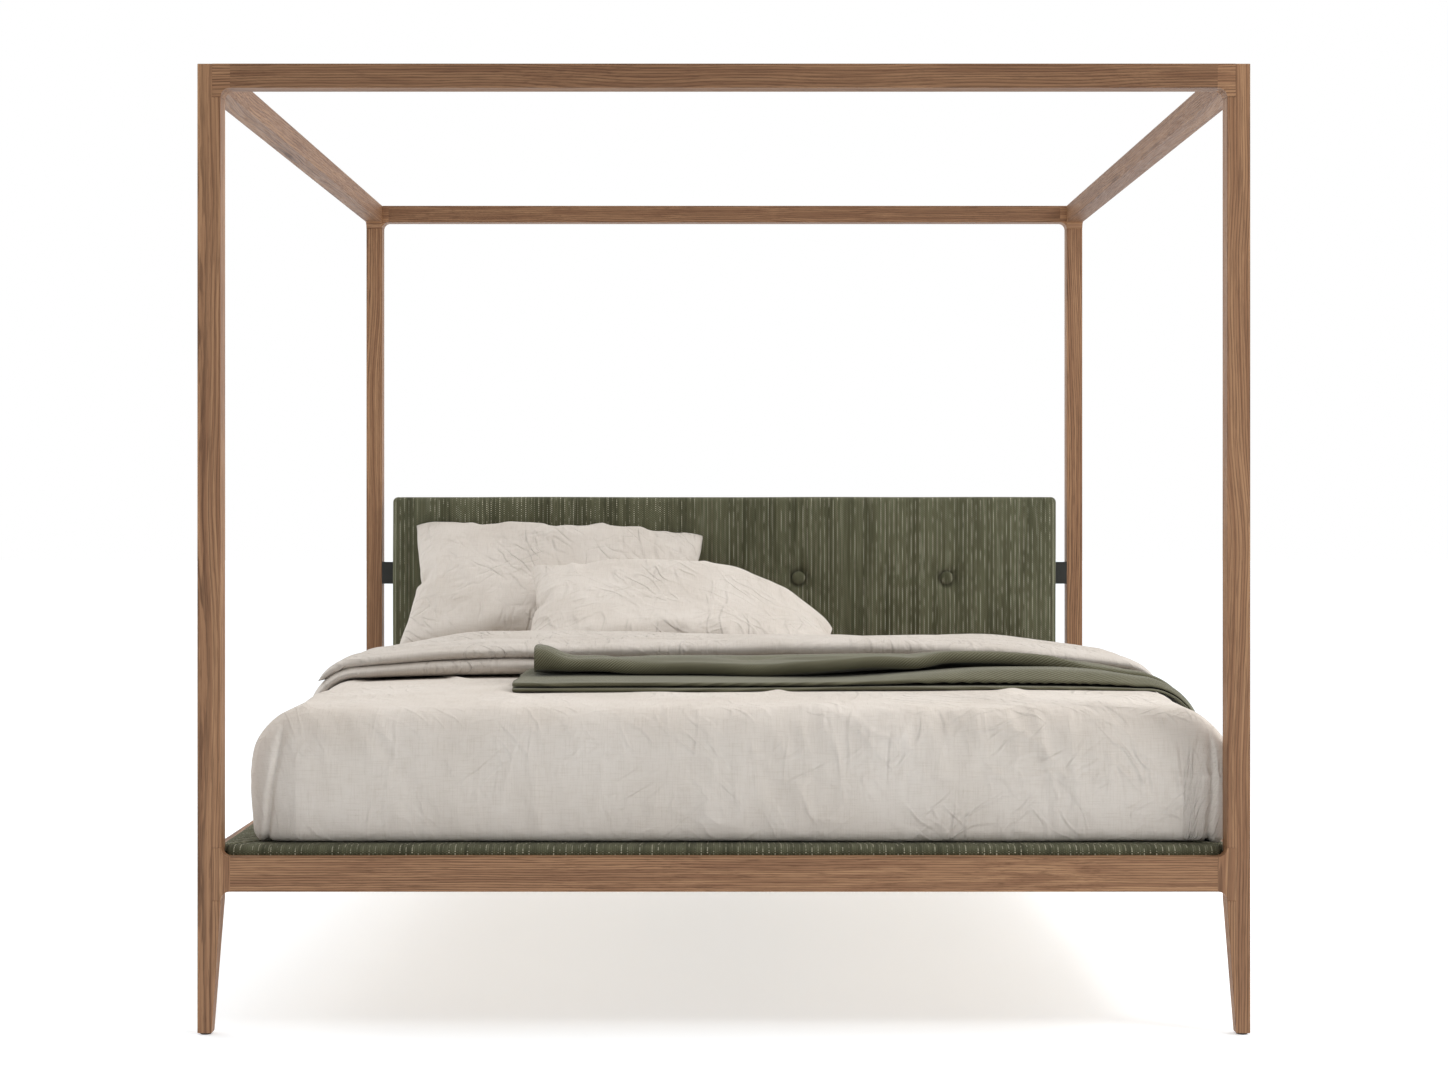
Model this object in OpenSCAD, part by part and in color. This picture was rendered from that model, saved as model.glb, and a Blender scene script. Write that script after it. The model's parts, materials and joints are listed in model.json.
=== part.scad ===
// Four poster canopy bed: a knock-down timber frame, an upholstered slatted base, a buttoned
// headboard hung between the rear posts, a mattress and its bedding. +X right, +Y to the head, +Z up.

/* [Frame] */
// Width over the outer faces of the posts
frame_w = 2000; // [1900:5:2300]
// Length over the outer faces of the posts
frame_l = 2195; // [2100:5:2400]
// Height of the canopy's top face
frame_h = 1845; // [1600:5:2300]
// Side of each square post
post = 44; // [42:1:54]
// Side of each leg at the floor
foot = 27; // [22:1:36]
// Height of the canopy rails' section
canopy_rail_h = 46; // [40:1:60]
// Height of the bed rails' section
bed_rail_h = 66; // [62:1:90]
// Thickness of the bed rails
bed_rail_t = 25; // [22:1:28]
// Height of the bed rails' top edge above the floor
bed_rail_top = 338; // [300:1:420]
// Radius of the hollow curve on each knee
knee_r = 17; // [10:1:24]
// Thickness of the glide under each leg
glide_t = 3; // [2:0.5:6]

/* [Joinery] */
// Depth that the knees are let into the posts
housing = 16; // [10:1:16]
// Flat between a knee's curve and its seam with the rail
knee_flat = 1; // [0.5:0.5:6]
// Radius of the connecting studs
stud_r = 4; // [3:0.5:4]
// Radius of the wooden dowels
dowel_r = 4; // [3:0.5:4]
// Length of the wooden dowels
dowel_len = 36; // [24:2:40]

/* [Upholstered base] */
// Height of the ledger strips on the rails
ledger_h = 26; // [20:1:26]
// Width of the ledger strips
ledger_w = 28; // [20:1:40]
// Width of the border boards
border_w = 90; // [80:1:110]
// Thickness of the border boards
border_t = 22; // [16:1:24]
// Height of the padded border above the rails
pad_proud = 18; // [8:1:24]
// Thickness of the padding over the border boards
pad_t = 34; // [32:1:44]
// Radius of the padded border's outer edge
pad_r = 12; // [6:1:14]

/* [Slats] */
// Number of slats on each side of the spine
slat_count = 13; // [9:1:16]
// Width of a slat
slat_w = 62; // [50:1:70]
// Thickness of a slat
slat_t = 8; // [6:0.5:9]
// Rise of a slat's arch
slat_rise = 8; // [4:0.5:10]
// Width of the slat frame's steel tube
tube_w = 30; // [20:1:34]
// Height of the slat frame's steel tube
tube_h = 20; // [16:1:20]
// Width of the spine tube between the two rows of slats
spine_w = 40; // [30:1:60]

/* [Headboard] */
// Height of the headboard's top edge above the floor
headboard_top = 1031; // [850:1:1300]
// Thickness of the headboard over its padding
headboard_t = 88; // [74:1:100]
// Gap between the headboard and each rear post
headboard_gap = 36; // [20:1:60]
// Radius of the headboard's upper corners
headboard_r = 14; // [6:1:40]
// Distance between neighbouring buttons
button_pitch = 411; // [300:1:440]
// Height of the row of buttons above the floor
button_z = 807; // [700:1:900]
// Radius of a button
button_r = 19.5; // [12:0.5:26]
// Height of the side brackets' centre above the floor
bracket_z = 820; // [760:1:900]
// Height of the side brackets
bracket_h = 61; // [40:1:80]

/* [Mattress] */
// Width of the mattress
mattress_w = 1800; // [1600:10:1800]
// Length of the mattress
mattress_l = 2000; // [1900:10:2000]
// Thickness of the mattress
mattress_h = 225; // [160:5:300]
// Distance that the mattress lies to the right of the bed's centre line
mattress_shift = 30; // [0:1:30]
// Radius of the mattress's upright corners
mattress_r = 40; // [20:5:80]

/* [Bedding] */
// Thickness of the bedspread on the mattress's sides
spread_side = 38; // [15:1:38]
// Thickness of the bedspread at the foot and on top
spread_top = 30; // [15:1:30]
// Thickness of the turned-down duvet
duvet_t = 82; // [40:1:110]
// Thickness of the folded throw
throw_t = 24; // [12:1:24]
// Width of a pillow
pillow_w = 800; // [600:10:820]
// Height of a pillow
pillow_h = 500; // [400:10:520]
// Thickness of a plump pillow
pillow_t = 140; // [80:5:160]

/* [Hidden] */

// Finishes
oak = [0.50, 0.36, 0.25];
beech = [0.80, 0.68, 0.50];
ply = [0.72, 0.60, 0.44];
green = [0.30, 0.33, 0.26];
moss = [0.34, 0.37, 0.29];
linen = [0.84, 0.81, 0.77];
steel = [0.62, 0.62, 0.62];
black = [0.09, 0.09, 0.08];
foam = [0.90, 0.88, 0.80];

// Clearances
loose = 0.2;       // round a stud, dowel or screw in its hole
drop_in = 3;       // round a board that drops into the frame
lift = 0.5;        // between pieces that lift off each other
cut = 1;           // overrun of a cutting solid past the face that it opens

// Frame, worked out. A corner's own axes start at the outer corner and run inwards.
inset = post - housing;                      // outer face of a post to the back of a housing
seam = post + knee_r + knee_flat;            // outer face of a post to a knee's seam
bed_rail_bottom = bed_rail_top - bed_rail_h;
bed_rail_mid = bed_rail_top - bed_rail_h / 2;
canopy_rail_bottom = frame_h - canopy_rail_h;
canopy_rail_mid = frame_h - canopy_rail_h / 2;
leg_top = bed_rail_bottom - knee_r;          // where the taper of a leg starts
canopy_rail_x = frame_w - 2 * seam;
canopy_rail_y = frame_l - 2 * seam;

// Fittings at a rail's end: X runs from the seam into the rail, Y to the pocket's mouth
pocket_near = 30;
pocket_far = 62;
pocket_half = 14;
pocket_floor = 7;
washer_t = 4;
nut_t = 6.5;
nut_r = 7.5;
stud_in_knee = 20;
stud_past_nut = 6;
bed_dowel_half = 22;                         // dowels stand above and below the stud in a bed rail
canopy_dowel_half = 13;                      // and on each side of it in a canopy rail
cover_t = 4;

// Base, worked out
pad_top = bed_rail_top + pad_proud;
board_top = pad_top - pad_t;
board_z = board_top - border_t;
ledger_top = board_z;
border_out = bed_rail_t + drop_in;           // outer edge of the border boards
border_in = border_out + border_w;           // inner edge of the border boards and pads
pad_out = bed_rail_t + 1;                    // outer edge of the padding, close to the rail
tube_out = border_in - tube_w;               // outer edge of the slat frame on the boards
post_clear = post + 2;                       // notch that the base leaves round a post
screw_r = 2.2;
screw_head_r = 4.2;
screw_head_t = 3;
screw_len = ledger_w + 14;
ledger_from = post_clear;                    // the ledgers start beside the posts
screws_per_ledger = 6;
ledger_screw_margin = 90;                    // rail's end to its first ledger screw
frame_bolt_r = 3;
frame_bolt_head = 6;
foam_lap = 2;                                // padding over the steel tube's outer edge

// Slats, worked out
cap_l = 26;
slat_facets = 14;
slat_end_room = 40;                          // slats' field left free at its two ends
cap_wall = 2.2;
cap_back = 3;                                // steel tube to a slat's end, inside its cap
cap_slot = slat_t + 2.4;
slat_from = border_in + cap_back;            // outer face of the frame to a slat's outer end
slat_to = frame_w / 2 - spine_w / 2 - cap_back;
slat_field = frame_l - 2 * border_in;
slat_pitch = (slat_field - slat_w - slat_end_room) / (slat_count - 1);
slat_end_z = pad_top - slat_rise - slat_t - 0.5;

// Headboard, worked out in the frame's own axes
head_rail_face = frame_l / 2 - bed_rail_t;   // inner face of the head rail
board_t = 18;
bracket_t = 5;
plate_t = 4;
board_back = head_rail_face;
board_front = board_back - board_t;
back_panel_t = 15;
headboard_rear = board_back + back_panel_t + lift;
headboard_front = headboard_rear - headboard_t;
headboard_w = frame_w - 2 * post - 2 * headboard_gap;
headboard_bottom = pad_top + 4;
board_margin = 26;                           // padding round the board's edge
board_half = headboard_w / 2 - board_margin;
bracket_reach = 40;                          // bracket over the board, under the padding
plate_x = 560;
plate_w = 40;
plate_bottom = ledger_top + 2;
plate_top = headboard_bottom + board_margin + 60;
button_t = 9;
button_sink = 9;
tie_r = 1;
knot_r = 6;                                  // the ties' knots behind the board
knot_t = 3;
bracket_screw_half = 18;                     // bracket's screws above and below its centre
post_face = frame_w / 2 - post;              // inner face of the posts, left or right
bracket_flange = 4;                          // flange's rear edge short of the headboard's back
button_xs = [for (i = [-1.5:1:1.5]) i * button_pitch];

// Mattress and bedding, worked out in the frame's own axes
mattress_z = pad_top + lift;
mattress_top = mattress_z + mattress_h;
mattress_y1 = headboard_front - 7.5;         // head end
mattress_y0 = mattress_y1 - mattress_l;      // foot end
mattress_wall = 45;
mattress_x0 = mattress_shift - mattress_w / 2;
mattress_x1 = mattress_shift + mattress_w / 2;
spread_x0 = mattress_x0 - spread_side;
spread_x1 = mattress_x1 + spread_side;
spread_y0 = mattress_y0 - spread_top;
spread_z = mattress_top + spread_top;
spread_r = mattress_r + spread_top;
spread_hem = mattress_z + 4;
duvet_y0 = spread_y0 + 740;
duvet_y1 = spread_y0 + 1240;
duvet_side = 24;
duvet_hem = spread_z - 150;
duvet_r = 38;
throw_x0 = -440;
throw_fold_l = 150;                          // part of the throw that is folded double
throw_fold_gap = 60;                         // fold's end to the bedspread's right side
throw_y0 = spread_y0 + 340;
throw_y1 = duvet_y0 - 4;
throw_hem = bed_rail_top - 58;
throw_hang = frame_w / 2 + 3;                // the throw hangs clear of the side rail
throw_slope = 100;                           // drop from the mattress's edge to where it hangs
duvet_top = spread_z + lift + duvet_t;
pillow_edge = 18;
rear_tilt = 42;
front_tilt = 25;
rear_pillow_x = -455;
front_pillow_x = -110;
pillow_rise = pillow_h - 2 * pillow_edge;
rear_pillow_y = headboard_front - 6 - pillow_edge - pillow_rise * cos(rear_tilt);
front_pillow_y = rear_pillow_y - 385;
pillow_z = spread_z + lift + pillow_edge;

// Placing

// A corner's own axes at the corner whose signs are sx (left -1, right 1) and sy (foot -1, head 1)
module corner(sx, sy)
    translate([sx * frame_w / 2, sy * frame_l / 2, 0])
        mirror([max(sx, 0), 0, 0]) mirror([0, max(sy, 0), 0]) children();

module every_corner() for (sx = [-1, 1], sy = [-1, 1]) corner(sx, sy) children();

// The side rail's copy of what is built for the foot or head rail
module turned() mirror([1, -1, 0]) children();

module both_ways() {
    children();
    turned() children();
}

module left_and_right() {
    children();
    mirror([1, 0, 0]) children();
}

// A profile drawn in (along, up), extruded by t across it
module across_y(t) translate([0, t, 0]) rotate([90, 0, 0]) linear_extrude(t) children();
module across_x(t) rotate([90, 0, 90]) linear_extrude(t) children();

module box(lo, hi) translate(lo) cube(hi - lo);

module rod_x(r, length) rotate([0, 90, 0]) cylinder(r = r, h = length, $fn = 32);
module rod_y(r, length) rotate([-90, 0, 0]) cylinder(r = r, h = length, $fn = 32);

function arc(c, r, a0, a1, n = 10) = [for (i = [0:n]) c + r * [cos(a0 + (a1 - a0) * i / n),
    sin(a0 + (a1 - a0) * i / n)]];

function rounded(x0, y0, x1, y1, r, n = 8) = concat(
    arc([x1 - r, y0 + r], r, -90, 0, n), arc([x1 - r, y1 - r], r, 0, 90, n),
    arc([x0 + r, y1 - r], r, 90, 180, n), arc([x0 + r, y0 + r], r, 180, 270, n));

// Posts and knees

module bed_knee_profile(back = inset, front = seam)
    polygon(concat([[back, bed_rail_bottom - knee_r], [back, bed_rail_top + knee_r]],
        arc([post + knee_r, bed_rail_top + knee_r], knee_r, 180, 270),
        [[front, bed_rail_top], [front, bed_rail_bottom]],
        arc([post + knee_r, bed_rail_bottom - knee_r], knee_r, 90, 180)));

module corner_block_profile()
    polygon(concat([[inset, frame_h], [seam, frame_h], [seam, canopy_rail_bottom]],
        arc([post + knee_r, canopy_rail_bottom - knee_r], knee_r, 90, 180),
        [[inset, canopy_rail_bottom - knee_r]]));

module post_profile()
    polygon([[0, glide_t], [foot, glide_t], [post, leg_top], [post, frame_h], [0, frame_h]]);

module post_solid() color(oak) difference() {
    intersection() {
        across_y(post) post_profile();
        across_x(post) post_profile();
    }
    both_ways() {
        box([inset, -cut, bed_rail_bottom - knee_r], [post + cut, bed_rail_t, bed_rail_top + knee_r]);
        box([inset, -cut, canopy_rail_bottom - knee_r], [post + cut, post + cut, frame_h + cut]);
    }
}

module corner_block() color(oak) difference() {
    union() both_ways() across_y(post) corner_block_profile();
    both_ways() translate([seam, post / 2, canopy_rail_mid]) rotate([90, 0, 0])
        knee_holes(canopy_dowel_half);
}

module bed_knee() color(oak) difference() {
    across_y(bed_rail_t) bed_knee_profile();
    translate([seam, bed_rail_t / 2, bed_rail_mid]) knee_holes(bed_dowel_half);
}

module foot_glides() color(black) every_corner()
    translate([foot / 2, foot / 2, 0]) cylinder(r = foot / 2 - 3, h = glide_t, $fn = 48);

// Fittings at the rails' ends

module knee_holes(dowel_half) {
    translate([-stud_in_knee, 0, 0]) rod_x(stud_r + loose, stud_in_knee + cut);
    for (s = [-1, 1]) translate([-dowel_len / 2 - 1, 0, s * dowel_half])
        rod_x(dowel_r + loose, dowel_len / 2 + 1 + cut);
}

module rail_end_cuts(dowel_half, half_depth) {
    translate([-cut, 0, 0]) rod_x(stud_r + loose, pocket_far - 4 + cut);
    for (s = [-1, 1]) translate([-cut, 0, s * dowel_half])
        rod_x(dowel_r + loose, dowel_len / 2 + 1 + cut);
    box([pocket_near, -pocket_floor - loose, -pocket_half],
        [pocket_far, half_depth + cut, pocket_half]);
}

module stud() translate([-stud_in_knee, 0, 0])
    rod_x(stud_r, stud_in_knee + pocket_near + washer_t + nut_t + stud_past_nut);

module washer() difference() {
    translate([pocket_near, 0, 0]) intersection() {
        rod_x(pocket_half - 1, washer_t);
        box([-cut, -pocket_floor, -pocket_half],
            [washer_t + cut, bed_rail_t / 2 - loose, pocket_half]);
    }
    translate([pocket_near - cut, 0, 0]) rod_x(stud_r + loose, washer_t + 2 * cut);
}

module nut() difference() {
    translate([pocket_near + washer_t, 0, 0]) rotate([0, 90, 0])
        cylinder(r = nut_r, h = nut_t, $fn = 6);
    translate([pocket_near, 0, 0]) rod_x(stud_r + loose / 2, washer_t + nut_t + cut);
}

module dowel_pair(dowel_half) for (s = [-1, 1])
    translate([-dowel_len / 2, 0, s * dowel_half]) rod_x(dowel_r, dowel_len);

module at_bed_ends() every_corner() both_ways()
    translate([seam, bed_rail_t / 2, bed_rail_mid]) children();

module at_canopy_ends() every_corner() both_ways()
    translate([seam, post / 2, canopy_rail_mid]) rotate([90, 0, 0]) children();

module at_all_ends() {
    at_bed_ends() children();
    at_canopy_ends() children();
}

module connecting_studs() color(steel) at_all_ends() stud();
module half_moon_washers() color(steel) at_all_ends() washer();
module stud_nuts() color(steel) at_all_ends() nut();

module dowels() color(beech) {
    at_bed_ends() dowel_pair(bed_dowel_half);
    at_canopy_ends() dowel_pair(canopy_dowel_half);
}

module pocket_covers() color(oak) at_canopy_ends()
    box([pocket_near + loose, canopy_rail_h / 2 - cover_t, -pocket_half + loose],
        [pocket_far - loose, canopy_rail_h / 2, pocket_half - loose]);

// Rails, built along X and centred, with the bed's inside towards +Y

module canopy_rail(length) color(oak) difference() {
    box([-length / 2, 0, canopy_rail_bottom], [length / 2, post, frame_h]);
    left_and_right() translate([-length / 2, post / 2, canopy_rail_mid]) rotate([90, 0, 0])
        rail_end_cuts(canopy_dowel_half, canopy_rail_h / 2);
}

module bed_rail(length) color(oak) difference() {
    box([-length / 2, 0, bed_rail_bottom], [length / 2, bed_rail_t, bed_rail_top]);
    left_and_right() translate([-length / 2, bed_rail_t / 2, bed_rail_mid])
        rail_end_cuts(bed_dowel_half, bed_rail_t / 2);
    ledger_screws_on(length) rod_y(screw_r + loose, screw_len - ledger_w + cut);
}

module at_foot() translate([0, -frame_l / 2, 0]) children();
module at_head() mirror([0, 1, 0]) at_foot() children();
module at_left() translate([-frame_w / 2, 0, 0]) turned() children();
module at_right() mirror([1, 0, 0]) at_left() children();

module bed_rail_head() difference() {
    at_head() bed_rail(canopy_rail_x);
    plates(loose);
}

// Ledgers, built like the rails

module ledger_screws_on(length)
    for (i = [0:screws_per_ledger - 1])
        translate([(i / (screws_per_ledger - 1) - 0.5) * (length - 2 * ledger_screw_margin),
            bed_rail_t - (screw_len - ledger_w), ledger_top - ledger_h / 2]) children();

module ledger(length, between) color(beech) difference() {
    box([-between / 2, bed_rail_t, ledger_top - ledger_h],
        [between / 2, bed_rail_t + ledger_w, ledger_top]);
    ledger_screws_on(length) {
        rod_y(screw_r + loose, screw_len + cut);
        translate([0, screw_len - screw_head_t, 0]) rod_y(screw_head_r + loose, screw_head_t + cut);
    }
}

ledger_x = frame_w - 2 * (bed_rail_t + ledger_w) - 2;
ledger_y = frame_l - 2 * ledger_from;

module ledger_screw() {
    rod_y(screw_r, screw_len - screw_head_t);
    translate([0, screw_len - screw_head_t, 0]) rod_y(screw_head_r, screw_head_t);
}

module ledger_screws() color(steel) {
    at_foot() ledger_screws_on(canopy_rail_x) ledger_screw();
    at_head() ledger_screws_on(canopy_rail_x) ledger_screw();
    at_left() ledger_screws_on(canopy_rail_y) ledger_screw();
    at_right() ledger_screws_on(canopy_rail_y) ledger_screw();
}

// Upholstered border

module post_notches(z0, z1) every_corner()
    box([-cut, -cut, z0 - cut], [post_clear, post_clear, z1 + cut]);

module border_board(length) box([-length / 2, border_out, board_z], [length / 2, border_in, board_top]);

module border_boards() color(ply) difference() {
    union() {
        at_foot() border_board(frame_w - 2 * border_in - 1);
        at_head() border_board(frame_w - 2 * border_in - 1);
        at_left() border_board(frame_l - 2 * border_out);
        at_right() border_board(frame_l - 2 * border_out);
    }
    post_notches(board_z, board_top);
    slat_frame_bolts_at() translate([0, 0, board_z - cut])
        cylinder(r = frame_bolt_r + loose, h = border_t + 2 * cut, $fn = 32);
}

// Section of the padding: a soft roll beside the rail and a thin flap over the steel tube
module pad_profile()
    polygon(concat([[pad_out, board_top]],
        arc([pad_out + pad_r, pad_top - pad_r], pad_r, 180, 90),
        [[border_in, pad_top], [border_in, board_top + tube_h + 1],
            [tube_out - foam_lap, board_top + tube_h + 1], [tube_out - foam_lap, board_top]]));

// The padding along one side, mitred at its two corners
module border_pad(length, half) color(green) difference() {
    intersection() {
        translate([-half, 0, 0]) across_x(length) pad_profile();
        translate([0, 0, board_top - cut]) linear_extrude(pad_top)
            polygon([[-half, 0], [half, 0], [half - border_in, border_in],
                [border_in - half, border_in]]);
    }
    left_and_right() box([-half - cut, -cut, board_top - cut],
        [post_clear - half, post_clear, pad_top + cut]);
}

// Slats

module slat_frame_bolts_at() for (sx = [-1, 1], i = [-2:2])
    translate([sx * (frame_w / 2 - tube_out - tube_w / 2), i * slat_field / 5, 0]) children();

module slat_frame() color(steel) difference() {
    union() {
        difference() {
            box([tube_out - frame_w / 2, tube_out - frame_l / 2, board_top],
                [frame_w / 2 - tube_out, frame_l / 2 - tube_out, board_top + tube_h]);
            box([tube_out + tube_w - frame_w / 2, tube_out + tube_w - frame_l / 2, board_top - cut],
                [frame_w / 2 - tube_out - tube_w, frame_l / 2 - tube_out - tube_w,
                    board_top + tube_h + cut]);
        }
        box([-spine_w / 2, tube_out + tube_w - frame_l / 2, board_top],
            [spine_w / 2, frame_l / 2 - tube_out - tube_w, board_top + tube_h]);
    }
    slat_frame_bolts_at() translate([0, 0, board_top - cut])
        cylinder(r = frame_bolt_r + loose, h = tube_h + 2 * cut, $fn = 32);
}

module slat_frame_bolts() color(steel) slat_frame_bolts_at() {
    translate([0, 0, board_z - frame_bolt_head / 2])
        cylinder(r = frame_bolt_r, h = border_t + tube_h + 2, $fn = 32);
    translate([0, 0, board_z - frame_bolt_head])
        cylinder(r = frame_bolt_head, h = frame_bolt_head - loose, $fn = 6);
}

slat_half = (slat_to - slat_from) / 2;
slat_bow_r = (slat_half * slat_half + slat_rise * slat_rise) / (2 * slat_rise);
slat_bow = asin(slat_half / slat_bow_r);

// One slat, bowed upwards, centred on X = 0
module slat() translate([0, -slat_w / 2, slat_end_z + slat_rise - slat_bow_r]) across_y(slat_w)
    polygon(concat(arc([0, 0], slat_bow_r, 90 - slat_bow, 90 + slat_bow, slat_facets),
        arc([0, 0], slat_bow_r + slat_t, 90 + slat_bow, 90 - slat_bow, slat_facets)));

module at_slats() for (i = [0:slat_count - 1])
    translate([slat_from + slat_half - frame_w / 2,
        (i - (slat_count - 1) / 2) * slat_pitch, 0]) children();

module slats_left() color(beech) at_slats() slat();

module slat_cap() translate([-slat_half - cap_back, 0, 0]) difference() {
    box([0, -slat_w / 2 - cap_wall, slat_end_z - cap_wall],
        [cap_l, slat_w / 2 + cap_wall, slat_end_z + cap_slot + cap_wall]);
    box([cap_wall, -slat_w / 2 - loose, slat_end_z - loose],
        [cap_l + cut, slat_w / 2 + loose, slat_end_z + cap_slot]);
}

module slat_caps() color(black) left_and_right() at_slats() left_and_right() slat_cap();

// Headboard

module headboard_board() color(ply) difference() {
    box([-board_half, board_front, headboard_bottom + board_margin],
        [board_half, board_back, headboard_top - board_margin]);
    button_holes(tie_r + loose);
    headboard_screw_sites() rod_y(screw_r + loose, 2 * board_t);
}

module headboard_outline(grow = 0) {
    w = headboard_w / 2 + grow;
    polygon(concat([[-w, headboard_bottom - grow], [w, headboard_bottom - grow]],
        arc([w - headboard_r, headboard_top + grow - headboard_r], headboard_r, 0, 90),
        arc([headboard_r - w, headboard_top + grow - headboard_r], headboard_r, 90, 180)));
}

module button_holes(r) for (x = button_xs)
    translate([x, headboard_front - cut, button_z]) rod_y(r, headboard_t);

module headboard_pad() color(green) difference() {
    translate([0, headboard_front, 0]) across_y(headboard_t) headboard_outline();
    box([-board_half - lift, board_front - lift, headboard_bottom + board_margin - lift],
        [board_half + lift, headboard_rear + cut, headboard_top - board_margin + lift]);
    button_holes(tie_r + loose);
    for (x = button_xs) translate([x, headboard_front - cut, button_z])
        rod_y(button_r + 1, button_sink + cut);
    brackets(1);
    plates(1);
    headboard_screw_sites() translate([0, -6, 0]) rod_y(screw_head_r + 1, 12);
}

module headboard_back() color(green) difference() {
    box([-board_half + 1, board_back + lift, headboard_bottom + board_margin + 1],
        [board_half - 1, headboard_rear, headboard_top - board_margin - 1]);
    plates(1);
    for (x = button_xs) translate([x, board_back, button_z]) rod_y(knot_r + 1, knot_t + 2);
}

module headboard_buttons() color(green) for (x = button_xs)
    translate([x, headboard_front + button_sink - button_t, button_z]) rod_y(button_r, button_t);

module button_ties() color(black) for (x = button_xs) {
    translate([x, headboard_front + button_sink, button_z])
        rod_y(tie_r, board_back - headboard_front - button_sink);
    translate([x, board_back, button_z]) rod_y(knot_r, knot_t);
}

// Black angle brackets: a plate over the board's front, under the padding, and a flange on the post
module brackets(grow = 0) left_and_right() {
    bottom = bracket_z - bracket_h / 2 - grow;
    top = bracket_z + bracket_h / 2 + grow;
    box([-post_face - grow / 4, board_front - bracket_t - grow, bottom],
        [bracket_reach - board_half + grow, board_front, top]);
    box([-post_face - grow / 4, board_front - grow, bottom],
        [bracket_t + grow - post_face, headboard_rear - bracket_flange, top]);
}

module headboard_brackets() color(black) difference() {
    brackets();
    headboard_screw_sites() rod_y(screw_r + loose, 2 * board_t);
}

// Flat steel plates let into the head rail, which carry the headboard's weight
module plates(grow = 0) left_and_right()
    box([plate_x - plate_w / 2 - grow, board_back, plate_bottom - grow],
        [plate_x + plate_w / 2 + grow, board_back + plate_t + grow, plate_top + grow]);

module headboard_plates() color(steel) plates();

module headboard_screw_sites() left_and_right() for (s = [-1, 1])
    translate([bracket_reach / 2 - board_half, board_front - bracket_t,
        bracket_z + s * bracket_screw_half]) children();

module headboard_screws() color(steel) headboard_screw_sites() {
    rod_y(screw_r, bracket_t + board_t - 3);
    translate([0, -2, 0]) rod_y(screw_head_r, 2);
}

// Mattress

module mattress_block(gap, z0, z1) translate([0, 0, z0]) linear_extrude(z1 - z0)
    polygon(rounded(mattress_x0 + gap, mattress_y0 + gap, mattress_x1 - gap, mattress_y1 - gap,
        max(mattress_r - gap, 2)));

module mattress_spring_unit() color(steel)
    mattress_block(mattress_wall + lift, mattress_z + mattress_wall, mattress_top - mattress_wall);

// Foam casing: a deep tray round the spring unit, and a lid that is the comfort layer
module mattress_casing() color(foam) {
    difference() {
        mattress_block(0, mattress_z, mattress_top - mattress_wall);
        mattress_block(mattress_wall, mattress_z + mattress_wall, mattress_top);
    }
    mattress_block(0, mattress_top - mattress_wall, mattress_top);
}

// Bedding

module bedspread() color(linen) difference() {
    translate([0, 0, spread_hem]) linear_extrude(spread_z - spread_hem)
        polygon(rounded(spread_x0, spread_y0, spread_x1, mattress_y1, spread_r));
    translate([0, 0, spread_hem - cut]) linear_extrude(mattress_top + lift - spread_hem + cut)
        polygon(rounded(mattress_x0 - lift, mattress_y0 - lift, mattress_x1 + lift,
            mattress_y1 + spread_r, mattress_r));
}

// Section of the duvet across the bed: puffed on top, with a drop at each side
module duvet_profile() {
    x0 = spread_x0 - lift;
    x1 = spread_x1 + lift;
    polygon(concat([[x0 - duvet_side, duvet_hem], [x0, duvet_hem], [x0, spread_z + lift],
        [x1, spread_z + lift], [x1, duvet_hem], [x1 + duvet_side, duvet_hem]],
        arc([x1 + duvet_side - duvet_r, duvet_top - duvet_r], duvet_r, 0, 90),
        arc([x0 - duvet_side + duvet_r, duvet_top - duvet_r], duvet_r, 90, 180)));
}

module duvet() color(linen) translate([0, duvet_y0, 0]) across_y(duvet_y1 - duvet_y0) duvet_profile();

// Section of the throw across the bed, lying on the bedspread and hanging outside the right rail
module throw_profile() {
    low = spread_z + lift;
    edge = spread_x1 + 2;
    polygon([[throw_x0, low], [edge, low], [throw_hang, low - throw_slope], [throw_hang, throw_hem],
        [throw_hang + throw_t, throw_hem], [throw_hang + throw_t, low - throw_slope + 12],
        [edge + 12, low + throw_t], [throw_x0, low + throw_t]]);
}

module throw_blanket() color(moss) {
    translate([0, throw_y0, 0]) across_y(throw_y1 - throw_y0) throw_profile();
    box([throw_x0, throw_y1 - throw_fold_l, spread_z + lift],
        [spread_x1 - throw_fold_gap, throw_y1, spread_z + lift + 2 * throw_t]);
}

// A pillow standing on its lower edge, tilted back from the floor by an angle
module pillow(x, y, tilt) translate([x, y, pillow_z]) rotate([tilt, 0, 0]) hull() {
    for (sx = [-1, 1], v = [0, pillow_rise])
        translate([sx * (pillow_w / 2 - pillow_edge), v, 0]) sphere(r = pillow_edge, $fn = 16);
    for (sx = [-1, 1]) translate([sx * pillow_w / 5, pillow_rise / 2, 0])
        cylinder(r = pillow_rise / 4, h = pillow_t, center = true, $fn = 24);
}

module pillow_rear() color(linen) pillow(rear_pillow_x, rear_pillow_y, rear_tilt);
module pillow_front() color(linen) pillow(front_pillow_x, front_pillow_y, front_tilt);

// Nodes

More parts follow.
